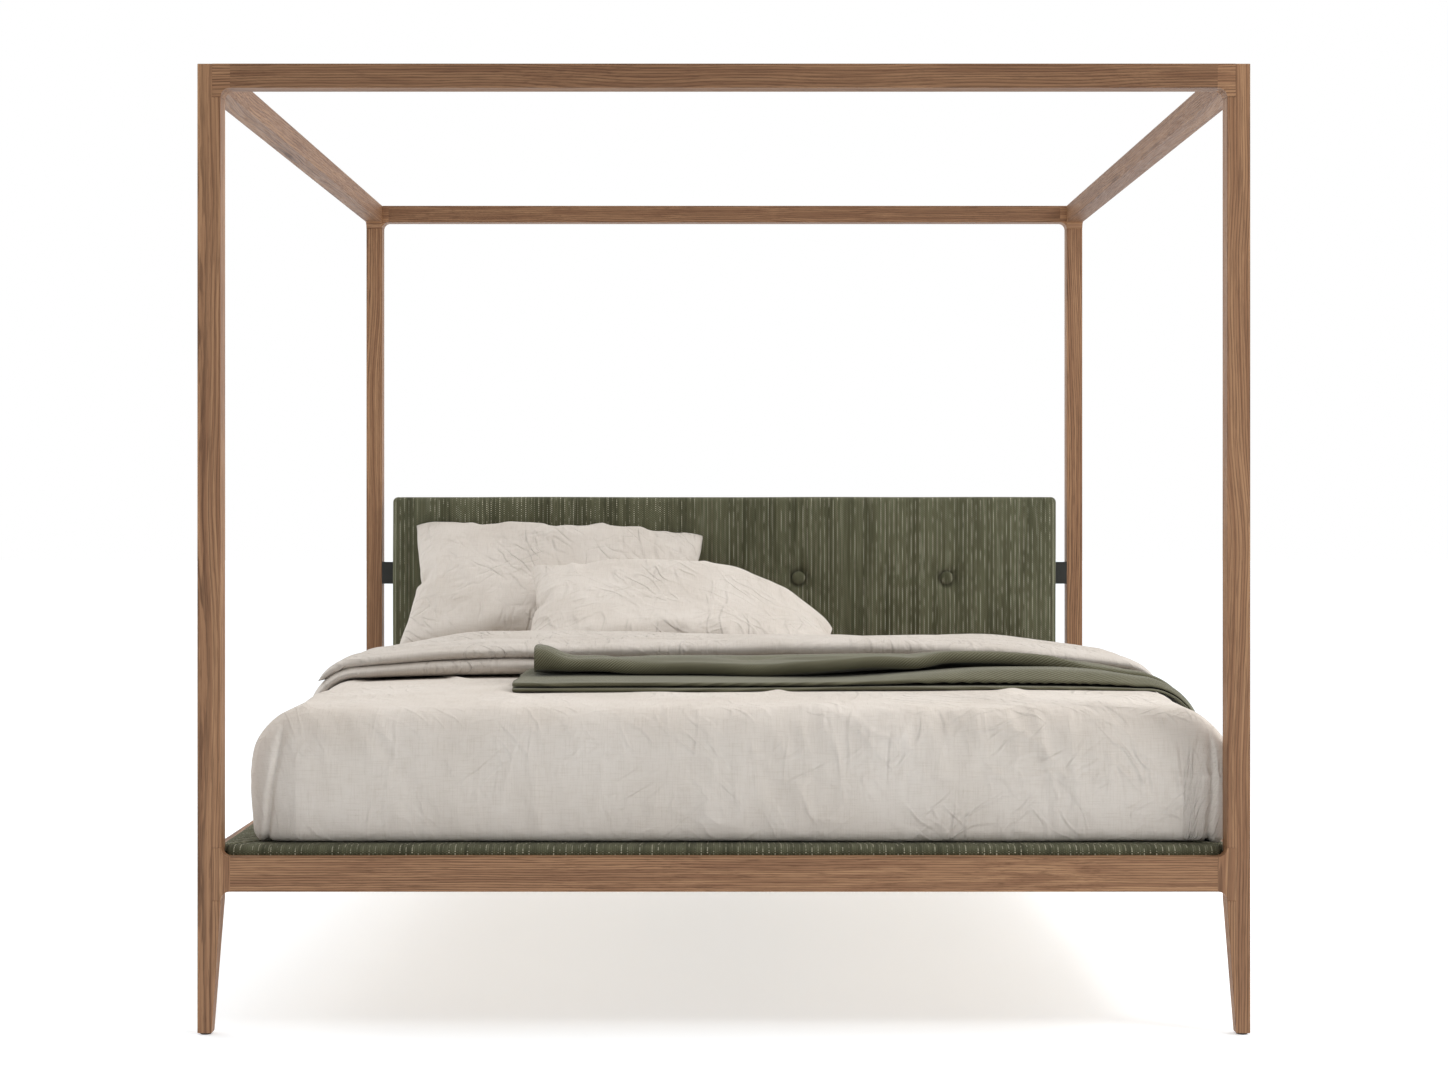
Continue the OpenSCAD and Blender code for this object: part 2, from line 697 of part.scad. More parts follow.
corner(-1, -1) post_solid();  // post_front_left
corner(1, -1) post_solid();  // post_front_right
corner(-1, 1) post_solid();  // post_rear_left
corner(1, 1) post_solid();  // post_rear_right
corner(-1, -1) corner_block();  // corner_block_front_left
corner(1, -1) corner_block();  // corner_block_front_right
corner(-1, 1) corner_block();  // corner_block_rear_left
corner(1, 1) corner_block();  // corner_block_rear_right
corner(-1, -1) bed_knee();  // knee_front_left_foot
corner(-1, -1) turned() bed_knee();  // knee_front_left_side
corner(1, -1) bed_knee();  // knee_front_right_foot
corner(1, -1) turned() bed_knee();  // knee_front_right_side
corner(-1, 1) bed_knee();  // knee_rear_left_head
corner(-1, 1) turned() bed_knee();  // knee_rear_left_side
corner(1, 1) bed_knee();  // knee_rear_right_head
corner(1, 1) turned() bed_knee();  // knee_rear_right_side
at_foot() canopy_rail(canopy_rail_x);  // canopy_rail_front
at_head() canopy_rail(canopy_rail_x);  // canopy_rail_rear
at_left() canopy_rail(canopy_rail_y);  // canopy_rail_left
at_right() canopy_rail(canopy_rail_y);  // canopy_rail_right
at_foot() bed_rail(canopy_rail_x);  // bed_rail_foot
bed_rail_head();
at_left() bed_rail(canopy_rail_y);  // bed_rail_left
at_right() bed_rail(canopy_rail_y);  // bed_rail_right
foot_glides();
connecting_studs();
half_moon_washers();
stud_nuts();
dowels();
pocket_covers();
at_foot() ledger(canopy_rail_x, ledger_x);  // ledger_foot
at_head() ledger(canopy_rail_x, ledger_x);  // ledger_head
at_left() ledger(canopy_rail_y, ledger_y);  // ledger_left
at_right() ledger(canopy_rail_y, ledger_y);  // ledger_right
ledger_screws();
border_boards();
at_foot() border_pad(frame_w, frame_w / 2);  // border_pad_foot
at_head() border_pad(frame_w, frame_w / 2);  // border_pad_head
at_left() border_pad(frame_l, frame_l / 2);  // border_pad_left
at_right() border_pad(frame_l, frame_l / 2);  // border_pad_right
slat_frame();
slat_frame_bolts();
slats_left();
mirror([1, 0, 0]) slats_left();  // slats_right
slat_caps();
headboard_board();
headboard_pad();
headboard_back();
headboard_buttons();
button_ties();
headboard_brackets();
headboard_plates();
headboard_screws();
mattress_spring_unit();
mattress_casing();
bedspread();
duvet();
throw_blanket();
pillow_rear();
pillow_front();
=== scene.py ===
"""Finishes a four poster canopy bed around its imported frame: timber, weaves, padding and bedding."""

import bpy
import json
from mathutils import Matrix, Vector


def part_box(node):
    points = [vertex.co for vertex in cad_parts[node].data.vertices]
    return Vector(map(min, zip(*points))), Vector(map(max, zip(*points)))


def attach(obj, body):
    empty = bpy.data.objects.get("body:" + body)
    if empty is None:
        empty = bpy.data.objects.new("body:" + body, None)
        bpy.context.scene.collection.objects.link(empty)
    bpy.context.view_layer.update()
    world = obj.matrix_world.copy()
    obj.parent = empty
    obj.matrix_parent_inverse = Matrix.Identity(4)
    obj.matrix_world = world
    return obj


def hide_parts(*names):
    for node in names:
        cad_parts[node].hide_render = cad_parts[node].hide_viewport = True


bl_info = {
    "name": "Four Poster Canopy Bed",
    "version": (1, 0, 0),
    "blender": (4, 5, 0),
    "location": "View3D > Sidebar > Canopy Bed",
    "description": "Finishes the bed's timber and makes its upholstery and bedding",
    "category": "Object",
}

import json
import math

import bmesh
import bpy
from mathutils import Vector, noise
from mathutils.bvhtree import BVHTree

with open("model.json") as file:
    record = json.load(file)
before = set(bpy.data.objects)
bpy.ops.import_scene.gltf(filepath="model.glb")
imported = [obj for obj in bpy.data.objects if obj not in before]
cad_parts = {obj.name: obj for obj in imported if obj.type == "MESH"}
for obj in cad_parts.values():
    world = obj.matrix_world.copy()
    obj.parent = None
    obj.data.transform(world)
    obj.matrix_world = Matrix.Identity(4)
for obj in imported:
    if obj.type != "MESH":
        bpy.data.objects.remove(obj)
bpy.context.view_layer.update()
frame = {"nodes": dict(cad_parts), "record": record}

BED = "bed"                                     # the body that everything fixed rides on
QUARTER = math.pi / 2


def srgb(red, green, blue):
    """A colour given as a screen shows it, 0 to 255, in the linear values that shaders take."""
    def linear(value):
        value /= 255
        return value / 12.92 if value <= 0.04045 else ((value + 0.055) / 1.055) ** 2.4
    return linear(red), linear(green), linear(blue)


def smooth(low, high, value):
    """0 below low, 1 above high, and an even curve between them."""
    t = min(max((value - low) / (high - low), 0.0), 1.0)
    return t * t * (3 - 2 * t)


def dome(t):
    """Rises from 0 at 0 to 1 at 1 along a quarter circle, and stays there."""
    return math.sqrt(max(1 - (1 - min(t, 1.0)) ** 2, 0.0))


def squarer(value, power):
    """A sine or cosine raised to a power below 1, which makes a circle's section squarer."""
    return math.copysign(abs(value) ** power, value)


def rough(x, y, z):
    """Smooth noise about 0."""
    return noise.noise(Vector((x, y, z)))


def ridge(value, width):
    """A narrow crease along the line where a noise is 0."""
    return math.exp(-(value / width) ** 2)


# Sizes and colours that a user would change


class BedSizes(bpy.types.PropertyGroup):
    """Sizes of the soft work, in metres."""
    edge_round: bpy.props.FloatProperty(
        name="Edge Rounding", description="Rounding of the timber's sanded edges",
        default=0.0014, min=0.0, max=0.004, unit="LENGTH")
    spread_edge: bpy.props.FloatProperty(
        name="Mattress Edge", description="Radius of the made bed's upper edges",
        default=0.085, min=0.03, max=0.12, unit="LENGTH")
    crown: bpy.props.FloatProperty(
        name="Crown", description="Rise of the mattress in its middle",
        default=0.012, min=0.0, max=0.03, unit="LENGTH")
    crease: bpy.props.FloatProperty(
        name="Linen Creases", description="Height of the linen's creases",
        default=0.0058, min=0.0, max=0.01, unit="LENGTH")
    button_pull: bpy.props.FloatProperty(
        name="Button Pull", description="Depth that the buttons pull the headboard's padding in",
        default=0.018, min=0.0, max=0.02, unit="LENGTH")
    pillow_pressure: bpy.props.FloatProperty(
        name="Pillow Filling", description="Pressure of the pillows' filling",
        default=2.2, min=0.5, max=8.0)


class BedColours(bpy.types.PropertyGroup):
    """Colours of the finishes."""
    timber_dark: bpy.props.FloatVectorProperty(
        name="Timber Pores", description="Stained pores and growth lines", subtype="COLOR",
        default=srgb(76, 48, 30), min=0, max=1)
    timber_mid: bpy.props.FloatVectorProperty(
        name="Timber", description="Stained timber", subtype="COLOR",
        default=srgb(139, 100, 71), min=0, max=1)
    timber_light: bpy.props.FloatVectorProperty(
        name="Timber Highlights", description="Pale streaks of the timber", subtype="COLOR",
        default=srgb(172, 131, 96), min=0, max=1)
    weave_dark: bpy.props.FloatVectorProperty(
        name="Weave Shade", description="Dark yarn of the upholstery", subtype="COLOR",
        default=srgb(66, 66, 48), min=0, max=1)
    weave_light: bpy.props.FloatVectorProperty(
        name="Weave", description="Light yarn of the upholstery", subtype="COLOR",
        default=srgb(112, 112, 88), min=0, max=1)
    weave_fleck: bpy.props.FloatVectorProperty(
        name="Weave Flecks", description="Pale flecks of the upholstery", subtype="COLOR",
        default=srgb(205, 200, 176), min=0, max=1)
    linen: bpy.props.FloatVectorProperty(
        name="Linen", description="Washed linen", subtype="COLOR",
        default=srgb(219, 211, 202), min=0, max=1)
    linen_shade: bpy.props.FloatVectorProperty(
        name="Linen Slubs", description="Darker slubs of the linen", subtype="COLOR",
        default=srgb(195, 184, 171), min=0, max=1)
    # The throw's two colours: painted shade in the twill's grooves, and its own colour with painted
    # highlight on the ribs.
    throw_groove_painted_shade: bpy.props.FloatVectorProperty(
        name="Throw Shade", description="Grooves of the throw's twill", subtype="COLOR",
        default=srgb(86, 84, 65), min=0, max=1)
    throw_colour_and_rib_highlight: bpy.props.FloatVectorProperty(
        name="Throw", description="Ribs of the throw's twill", subtype="COLOR",
        default=srgb(146, 143, 119), min=0, max=1)


# Materials


class Signal:
    """The output of a node. Sums with it add the nodes that work them out."""

    def __init__(self, finish, socket):
        self.finish = finish
        self.socket = socket

    def reckon(self, operation, *values):
        return self.finish.node("Math", 0, values, operation=operation)

    def __add__(self, other):
        return self.reckon("ADD", self, other)

    def __sub__(self, other):
        return self.reckon("SUBTRACT", self, other)

    def __rsub__(self, other):
        return self.reckon("SUBTRACT", other, self)

    def __mul__(self, other):
        return self.reckon("MULTIPLY", self, other)

    def __truediv__(self, other):
        return self.reckon("DIVIDE", self, other)

    def __pow__(self, other):
        return self.reckon("POWER", self, other)

    def __abs__(self):
        return self.reckon("ABSOLUTE", self)

    def floor(self):
        return self.reckon("FLOOR", self)

    def fraction(self):
        return self.reckon("FRACT", self)

    def sine(self):
        return self.reckon("SINE", self)

    def larger(self, other):
        return self.reckon("MAXIMUM", self, other)

    def within(self, middle, reach):
        """1 where the signal is within reach of middle, and 0 elsewhere."""
        return self.reckon("COMPARE", self, middle, reach)


class Finish:
    """A material's node tree, with short ways to add its nodes."""

    def __init__(self, name, **shader):
        self.material = bpy.data.materials.new(name)
        self.material.use_nodes = True
        self.tree = self.material.node_tree
        self.tree.nodes.clear()
        self.shader = self.add("BsdfPrincipled")
        output = self.add("OutputMaterial")
        self.tree.links.new(self.shader.outputs["BSDF"], output.inputs["Surface"])
        self.set(**shader)

    def add(self, kind, **settings):
        """A new node, with its own settings."""
        made = self.tree.nodes.new("ShaderNode" + kind)
        for name, value in settings.items():
            setattr(made, name, value)
        return made

    def fill(self, socket, value):
        """Gives a socket a value, or joins a signal to it."""
        if isinstance(value, Signal):
            self.tree.links.new(value.socket, socket)
        else:
            socket.default_value = value

    def node(self, kind, output, values, **settings):
        """The output of a new node, whose first sockets, or the named ones, are filled with values."""
        made = self.add(kind, **settings)
        if isinstance(values, dict):
            pairs = [(made.inputs[name], value) for name, value in values.items()]
        else:
            pairs = zip(made.inputs, values)
        for socket, value in pairs:
            self.fill(socket, value)
        return Signal(self, made.outputs[output])

    def set(self, **values):
        """Sets the shader's own sockets, named in lower case."""
        for name, value in values.items():
            title = name.replace("_", " ").title().replace("Ior", "IOR")
            self.fill(self.shader.inputs[title], value)

    def place(self, layer=None):
        """The three coordinates of the object, or of a piece's own cloth layer."""
        if layer:
            source = self.node("UVMap", "UV", (), uv_map=layer)
        else:
            source = self.node("TexCoord", "Object", ())
        split = self.add("SeparateXYZ")
        self.fill(split.inputs[0], source)
        return [Signal(self, output) for output in split.outputs]

    def point(self, x, y, z=0.0):
        return self.node("CombineXYZ", 0, (x, y, z))

    def cloud(self, where, scale=1.0, detail=2.0, roughness=0.5, distortion=0.0):
        """Soft noise from 0 to 1."""
        return self.node("TexNoise", "Fac", {"Vector": where, "Scale": scale, "Detail": detail,
                                             "Roughness": roughness, "Distortion": distortion})

    def chance(self, where):
        """A random number from 0 to 1, the same wherever the point is the same."""
        return self.node("TexWhiteNoise", "Value", {"Vector": where}, noise_dimensions="3D")

    def between(self, value, low, high, to_low=0.0, to_high=1.0):
        """Maps a value smoothly from one range to another."""
        return self.node("MapRange", 0, (value, low, high, to_low, to_high),
                         interpolation_type="SMOOTHSTEP")

    def blend(self, factor, first, second):
        """One colour over another."""
        made = self.add("Mix", data_type="RGBA")
        for socket, value in zip((made.inputs["Factor"], made.inputs[6], made.inputs[7]),
                                 (factor, first, second)):
            self.fill(socket, (*value, 1.0) if isinstance(value, tuple) else value)
        return Signal(self, made.outputs[2])

    def bump(self, height, distance, strength=1.0):
        values = {"Height": height, "Distance": distance, "Strength": strength}
        self.fill(self.shader.inputs["Normal"], self.node("Bump", 0, values))


def colour(name):
    return tuple(getattr(bpy.context.scene.bed_colours, name))


def timber(name, along, centre, seed, depth=0.0):
    """Stained open-grained timber: growth rings about a pith beside the piece, and pores along it. depth
    darkens the whole piece towards the pore colour, as painted shade.
    """
    f = Finish(name, roughness=0.5, specular_ior_level=0.32)
    axes = dict(zip("XYZ", f.place()))
    middle = dict(zip("XYZ", centre))
    length = axes.pop(along)
    middle.pop(along)
    (a, b), (middle_a, middle_b) = axes.values(), middle.values()
    pith_a = 0.028 + 0.03 * noise.cell(Vector((seed, 0.5, 0.5)))
    pith_b = 0.045 + 0.03 * noise.cell(Vector((seed, 7.5, 0.5)))
    drift = f.cloud(f.point(length * 1.7, seed * 3.1, 0.0), detail=1.0)
    a = a - (middle_a - pith_a) + (drift - 0.5) * 0.055
    b = b - (middle_b - pith_b)
    radius = (a * a + b * b) ** 0.5
    waver = f.cloud(f.point(a * 60.0, b * 60.0, length * 5.0), detail=3.0)
    ring = (radius * 210.0 + waver * 1.6).fraction()
    early = f.between(ring, 0.0, 0.1) * f.between(ring, 0.16, 0.62, 1.0, 0.0)
    pores = f.cloud(f.point(a * 620.0, b * 620.0, length * 14.0), detail=3.0, roughness=0.65)
    streaks = f.cloud(f.point(a * 120.0, b * 120.0, length * 1.4 + seed), detail=3.0)
    broad = f.cloud(f.point(a * 14.0, b * 14.0, length * 1.1 + seed), detail=1.0)
    base = f.blend(f.between(streaks, 0.34, 0.66), colour("timber_mid"), colour("timber_light"))
    base = f.blend(f.between(broad, 0.3, 0.7) * 0.35, base, colour("timber_mid"))
    pore = f.between(pores, 0.52, 0.68) * 0.55
    line = early * f.between(pores, 0.3, 0.62, 0.35, 0.95) * f.between(broad, 0.25, 0.75, 0.55, 1.0)
    grain = line.larger(pore)
    base = f.blend(grain, base, colour("timber_dark"))
    # painted shade: depth darkens the whole piece towards the pore colour
    base = f.blend(depth, base, colour("timber_dark"))
    f.set(base_color=base, roughness=f.between(pores, 0.3, 0.7, 0.42, 0.62))
    f.bump(1.0 - grain, 0.0002, 0.6)
    return f.material


def pale_wood(name, along, light, dark, lines):
    """Clear-lacquered wood with fine straight grain, or the sanded face of plywood."""
    f = Finish(name, roughness=0.5)
    axes = dict(zip("XYZ", f.place()))
    length = axes.pop(along)
    a, b = axes.values()
    fine = f.cloud(f.point(a * lines, b * lines, length * 5.0), detail=3.0)
    f.set(base_color=f.blend(f.between(fine, 0.35, 0.68), light, dark))
    f.bump(fine, 0.0002, 0.3)
    return f.material


def threads(f, across, along, pitch, step):
    """Height of threads that pass over and under each other, and each thread's own number."""
    number = (across / pitch).floor()
    crest = ((across / pitch).fraction() * math.pi).sine()
    turn = along / step + number * 0.5
    knot = (turn * (2 * math.pi)).sine() * 0.5 + 0.5
    return crest * knot, number


def upholstery(name):
    """Slubby green weave: each warp yarn has its own tone, with pale flecks in broken lines, and painted
    shade between the threads.
    """
    f = Finish(name, roughness=0.92, specular_ior_level=0.12, sheen_weight=0.06, sheen_roughness=0.6)
    u, v, _ = f.place("cut")
    pitch = 0.0040
    height, number = threads(f, u, v, pitch, 0.0058)
    column = (u / (3 * pitch)).floor()
    tone = f.chance(f.point(number, 3.0))
    picked = f.chance(f.point(column, 8.0))
    slub = f.cloud(f.point(number * 7.31, v * 6.0), detail=2.0)
    stretch = f.cloud(f.point(column * 5.17, v * 34.0), detail=2.0)
    group = f.cloud(f.point(u * 30.0, v * 1.8), detail=3.0)
    shade = tone * 0.3 + f.between(slub, 0.3, 0.7) * 0.34 + f.between(group, 0.35, 0.65) * 0.48
    # painted shade and highlight: the yarn is darker in the valleys between threads and lighter on their
    # crests
    shade = shade * f.between(height, 0.0, 0.7, 0.55, 1.15)
    body = f.blend(shade, colour("weave_dark"), colour("weave_light"))
    line = (u / (3 * pitch)).fraction().within(0.5, 0.15)
    fleck = f.between(stretch, 0.42, 0.56) * f.between(picked, 0.0, 0.65, 0.12, 1.0)
    fleck = fleck * line * f.between(height, 0.42, 0.6)
    stray = f.between(slub, 0.58, 0.7) * f.between(height, 0.4, 0.8)
    fleck = fleck.larger(stray * 0.45)
    f.set(base_color=f.blend(fleck, body, colour("weave_fleck")))
    f.bump(height, 0.0012, 0.8)
    return f.material


def crease_lines(f, u, v, across, along, width, seed):
    """Raised lines of crumpled cloth, longer along v than across it."""
    bend = f.cloud(f.point(u * (across * 0.35), v * (along * 0.5), seed + 9), detail=1.0)
    where = f.point(u * across + bend * 1.6, v * along, seed)
    away = abs(f.cloud(where, detail=1.5, roughness=0.4) - 0.5)
    patch = f.cloud(f.point(u * 6.0, v * 6.0, seed + 4), detail=1.0)
    return f.between(away, 0.0, width, 1.0, 0.0) * f.between(patch, 0.42, 0.62)


def linen(name, light, shade, quiet=0.0, busy=0.0):
    """Washed linen: fine plain weave with slubs along both threads, and creases.

    The creases fade out from the flat cut's width at busy to its width at quiet.
    """
    f = Finish(name, roughness=0.88, specular_ior_level=0.18, sheen_weight=0.06, sheen_roughness=0.5)
    u, v, _ = f.place("cut")
    height, _ = threads(f, u, v, 0.0013, 0.0026)
    warp = f.cloud(f.point(u * 420.0, v * 22.0), detail=2.0)
    weft = f.cloud(f.point(u * 22.0, v * 420.0), detail=2.0)
    cloudy = f.cloud(f.point(u * 5.0, v * 5.0), detail=3.0)
    slub = f.between(warp, 0.45, 0.75) + f.between(weft, 0.45, 0.75)
    amount = slub * 0.24 + f.between(cloudy, 0.3, 0.7) * 0.3
    f.set(base_color=f.blend(amount, light, shade))
    upright = crease_lines(f, u, v, 20.0, 5.0, 0.085, 1.0)
    turned = u * 0.8 + v * 0.6
    across = v * 0.8 - u * 0.6
    slanted = crease_lines(f, turned, across, 24.0, 8.0, 0.085, 5.0)
    leaning = crease_lines(f, across, turned, 26.0, 9.0, 0.090, 11.0)
    lines = upright + slanted + leaning * 0.7
    if busy:
        lines = lines * f.between(u, quiet, busy, 0.45, 1.0)
    crumple = f.cloud(f.point(u * 30.0, v * 30.0), detail=4.0, roughness=0.55, distortion=0.5)
    f.bump(height * 0.08 + slub * 0.06 + crumple * 0.6 + lines * 0.85, 0.0036)
    return f.material


def twill(name, light, dark):
    """Soft twill: fine slanting ribs and a brushed surface, with painted highlight on the ribs and
    painted shade in their grooves.
    """
    f = Finish(name, roughness=0.9, specular_ior_level=0.15, sheen_weight=0.2, sheen_roughness=0.5)
    u, v, _ = f.place("cut")
    slant = u * 0.6 + v
    rib, _ = threads(f, slant, u, 0.0034, 0.0040)
    cloudy = f.cloud(f.point(u * 9.0, v * 9.0), detail=3.0)
    # painted highlight and shade: the ribs take the light colour and the grooves the dark one; the cloudy
    # part is the cloth's own uneven tone
    amount = f.between(rib, 0.0, 0.9) * f.between(cloudy, 0.3, 0.7, 0.7, 1.0)
    f.set(base_color=f.blend(amount, dark, light))
    f.bump(rib, 0.0008, 0.7)
    return f.material


def metal(name, tint, roughness, metallic, speckle):
    """Plated or powder-coated steel, with a fine uneven surface."""
    f = Finish(name, metallic=metallic, roughness=roughness)
    fine = f.cloud(f.point(*f.place()), scale=speckle, detail=3.0)
    f.set(base_color=f.blend(f.between(fine, 0.3, 0.7), tint, tuple(0.82 * part for part in tint)),
          roughness=f.between(fine, 0.3, 0.7, roughness - 0.06, roughness + 0.08))
    f.bump(fine, 0.0001, 0.4)
    return f.material


# Geometry


def cut_cloth(columns, rows, flat, shape):
    """A sheet of cloth as a grid, laid by shape(u, v), with its flat cut in metres as the map "cut"."""
    bm = bmesh.new()
    cut = bm.loops.layers.uv.new("cut")
    bmesh.ops.create_grid(bm, x_segments=columns, y_segments=rows, size=0.5)
    for face in bm.faces:
        for loop in face.loops:
            loop[cut].uv = ((loop.vert.co.x + 0.5) * flat[0], (loop.vert.co.y + 0.5) * flat[1])
    for vert in bm.verts:
        vert.co = shape(vert.co.x + 0.5, vert.co.y + 0.5)
    return bm


def raise_by(bm, height):
    """Moves every point along its normal by height(point, normal)."""
    bm.normal_update()
    steps = [vert.normal * height(vert.co, vert.normal) for vert in bm.verts]
    for vert, step in zip(bm.verts, steps):
        vert.co += step


def piece(bm, name, material, body, replaces=(), closed=False):
    """Makes a finished piece of a bmesh, which rides on a body and stands for CAD nodes."""
    if closed:
        bmesh.ops.remove_doubles(bm, verts=bm.verts, dist=0.00005)
        bmesh.ops.recalc_face_normals(bm, faces=bm.faces)
    for face in bm.faces:
        face.smooth = True
    mesh = bpy.data.meshes.new(name)
    bm.to_mesh(mesh)
    bm.free()
    mesh.materials.append(material)
    made = bpy.data.objects.new(name, mesh)
    bpy.context.scene.collection.objects.link(made)
    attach(made, body)
    if replaces:
        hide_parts(*replaces)
    return made


def creases(x, y, seed, stretch, width=0.16):
    """Crease lines of crumpled cloth, longer one way than the other."""
    where = Vector((x * stretch[0] + seed, y * stretch[1] - seed, seed * 0.7))
    bend = noise.noise(where * 0.6 + Vector((9.1, 3.7, 0.0)))
    return ridge(noise.noise(where + Vector((bend, -bend, 0.0))), width)


def wrap(x, y, inner, legs, square):
    """Lays a flat point over a rounded block: the flat part inside inner, then along legs over its edge.

    square gives the corners' shape in plan: 2 is round, and more is squarer. It returns the point and
    how far it lies below the top.
    """
    (x0, y0), (x1, y1) = inner
    dx = max(x0 - x, 0.0, x - x1)
    dy = max(y0 - y, 0.0, y - y1)
    side_x = -1.0 if x < x0 else 1.0
    side_y = -1.0 if y < y0 else 1.0
    base = Vector((min(max(x, x0), x1), min(max(y, y0), y1)))
    past = max(dx, dy)
    if past <= 0.0:
        return base.x, base.y, 0.0
    turn = 0.5 * dy / dx if dx >= dy else 1.0 - 0.5 * dx / dy
    reach, down, _ = walk(legs, past)
    away_x = math.cos(turn * QUARTER)
    away_y = math.sin(turn * QUARTER)
    power = 2 + (square(side_x, side_y) - 2) * smooth(0.0, 1.2, down / max(reach, 0.001))
    reach /= (away_x ** power + away_y ** power) ** (1 / power)
    return base.x + side_x * reach * away_x, base.y + side_y * reach * away_y, down


def walk(legs, distance, heading=0.0):
    """Where a walk along straight and bent legs comes to: how far across, how far down, and its heading.

    Each leg is (length, turn), and a heading of a quarter turn points straight down.
    """
    across = down = 0.0
    for length, turn in legs:
        step = min(distance, length)
        if turn:
            radius = length / turn
            bend = heading + turn * step / length
            across += radius * (math.sin(bend) - math.sin(heading))
            down += radius * (math.cos(heading) - math.cos(bend))
            heading = bend
        else:
            across += step * math.cos(heading)
            down += step * math.sin(heading)
        distance -= step
        if distance <= 0.0:
            break
    return across, down, heading


def length_of(legs):
    return sum(length for length, _ in legs)


def cover(name, inner, legs, spacing, turned, material, body, replaces, relief,
          rows=lambda v: v, square=lambda side_x, side_y: 2):
    """A cloth pulled over a block: flat inside inner, and along legs past its edge on all four sides.

    turned(across, along, down) gives a point of the block in the bed's frame, and rows(v) spaces the
    rows of the mesh. It returns the piece and the cloth's flat size.
    """
    over = length_of(legs)
    (x0, y0), (x1, y1) = inner
    wide = x1 - x0 + 2 * over
    long = y1 - y0 + 2 * over

    def lay(u, v):
        return turned(*wrap(x0 - over + u * wide, y0 - over + rows(v) * long, inner, legs, square))

    bm = cut_cloth(round(wide / spacing[0]), round(long / spacing[1]), (wide, long), lay)
    change_cut(bm, lambda loop, uv: (uv.x, rows(uv.y / long) * long))
    raise_by(bm, relief)
    return piece(bm, name, material, body, replaces), (wide, long)


def change_cut(bm, change):
    """Gives every corner of every face the flat coordinates change(loop, uv)."""
    cut = bm.loops.layers.uv["cut"]
    for face in bm.faces:
        for loop in face.loops:
            loop[cut].uv = change(loop, loop[cut].uv)


def filled_form(columns, rows, flat, shape):
    """A closed form of two equal cloths joined round their edges; shape(u, v, side) has side 1 or -1."""
    halves = []
    for side in (1, -1):
        bm = cut_cloth(columns, rows, flat, lambda u, v: shape(u, v, side))
        if side < 0:
            bmesh.ops.reverse_faces(bm, faces=bm.faces)
        halves.append(bm)
    whole = join(halves)
    bmesh.ops.remove_doubles(whole, verts=whole.verts, dist=0.00002)
    return whole


def tube(path, radius, sides=8):
    """A closed round tube along a list of points."""
    points = [Vector(point) for point in path]
    count = len(points)

    def shape(u, v):
        spot = min(int(u * (count - 1) + 0.5), count - 1)
        ahead = points[min(spot + 1, count - 1)] - points[max(spot - 1, 0)]
        ahead.normalize()
        side = ahead.orthogonal() if abs(ahead.z) > 0.999 else ahead.cross(Vector((0, 0, 1)))
        side.normalize()
        up = side.cross(ahead)
        girth = 0.0 if spot in (0, count - 1) else radius
        angle = v * 2 * math.pi
        return points[spot] + girth * (math.cos(angle) * side + math.sin(angle) * up)

    run = sum((b - a).length for a, b in zip(points, points[1:]))
    return cut_cloth(count - 1, sides, (run, 2 * math.pi * radius), shape)


def join(bms):
    """One bmesh of several, which are used up."""
    whole = bmesh.new()
    whole.loops.layers.uv.new("cut")
    for bm in bms:
        part = bpy.data.meshes.new("part")
        bm.to_mesh(part)
        bm.free()
        whole.from_mesh(part)
        bpy.data.meshes.remove(part)
    return whole


def ease(node, width, segments=3):
    """Joins a CAD node's loose triangles and rounds its sharp edges."""
    weld = node.modifiers.new("Weld", "WELD")
    weld.merge_threshold = 0.00002
    bevel = node.modifiers.new("Eased Edges", "BEVEL")
    bevel.width = width
    bevel.segments = segments
    bevel.limit_method = "ANGLE"
    bevel.angle_limit = math.radians(30)
    bevel.harden_normals = True
    node.modifiers.new("Weighted Normals", "WEIGHTED_NORMAL").keep_sharp = True


FINISHES = {}                                   # materials made so far, by name


def finish_of(name, make, *args):
    """The material of this name, made the first time that it is asked for."""
    if name not in FINISHES:
        FINISHES[name] = make(name, *args)
    return FINISHES[name]


def weave():
    return finish_of("slub_weave", upholstery)


def piping_cloth():
    # the piping's twill, with painted highlight on its ribs and painted shade in its grooves
    return finish_of("pale_piping", twill, srgb(164, 160, 136), srgb(104, 105, 84))


def bed_linen():
    return finish_of("washed_linen", linen, colour("linen"), colour("linen_shade"))


class Bed:
    """The made bed's rounded block, which the bedding lies over."""

    def __init__(self):
        sizes = bpy.context.scene.bed_sizes
        self.low, self.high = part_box("bedspread")
        self.edge = sizes.spread_edge
        self.crown = sizes.crown
        self.middle = (self.low + self.high) / 2
        self.half = (self.high - self.low) / 2

    def rise(self, x, y):
        """How far the bed's middle stands above its edges."""
        a = min(abs(x - self.middle.x) / (self.half.x - self.edge), 1.0)
        b = min(abs(y - self.middle.y) / (self.half.y - self.edge), 1.0)
        return self.crown * (1 - a ** 4) * (1 - b ** 4)

    def over(self, run, height, y, edge, top):
        """A point run from the middle, over the left or right side, at a height off the bed.

        The bed is flat as far as top, and rounded by edge past it.
        """
        side = -1.0 if run < 0 else 1.0
        across, down, heading = walk(((top, 0), (edge * QUARTER, QUARTER), (1.0, 0)), abs(run))
        x = self.middle.x + side * (across + height * math.sin(heading))
        z = self.high.z - down + height * math.cos(heading)
        return Vector((x, y, z + self.rise(x, y) * math.cos(heading)))


# Operators


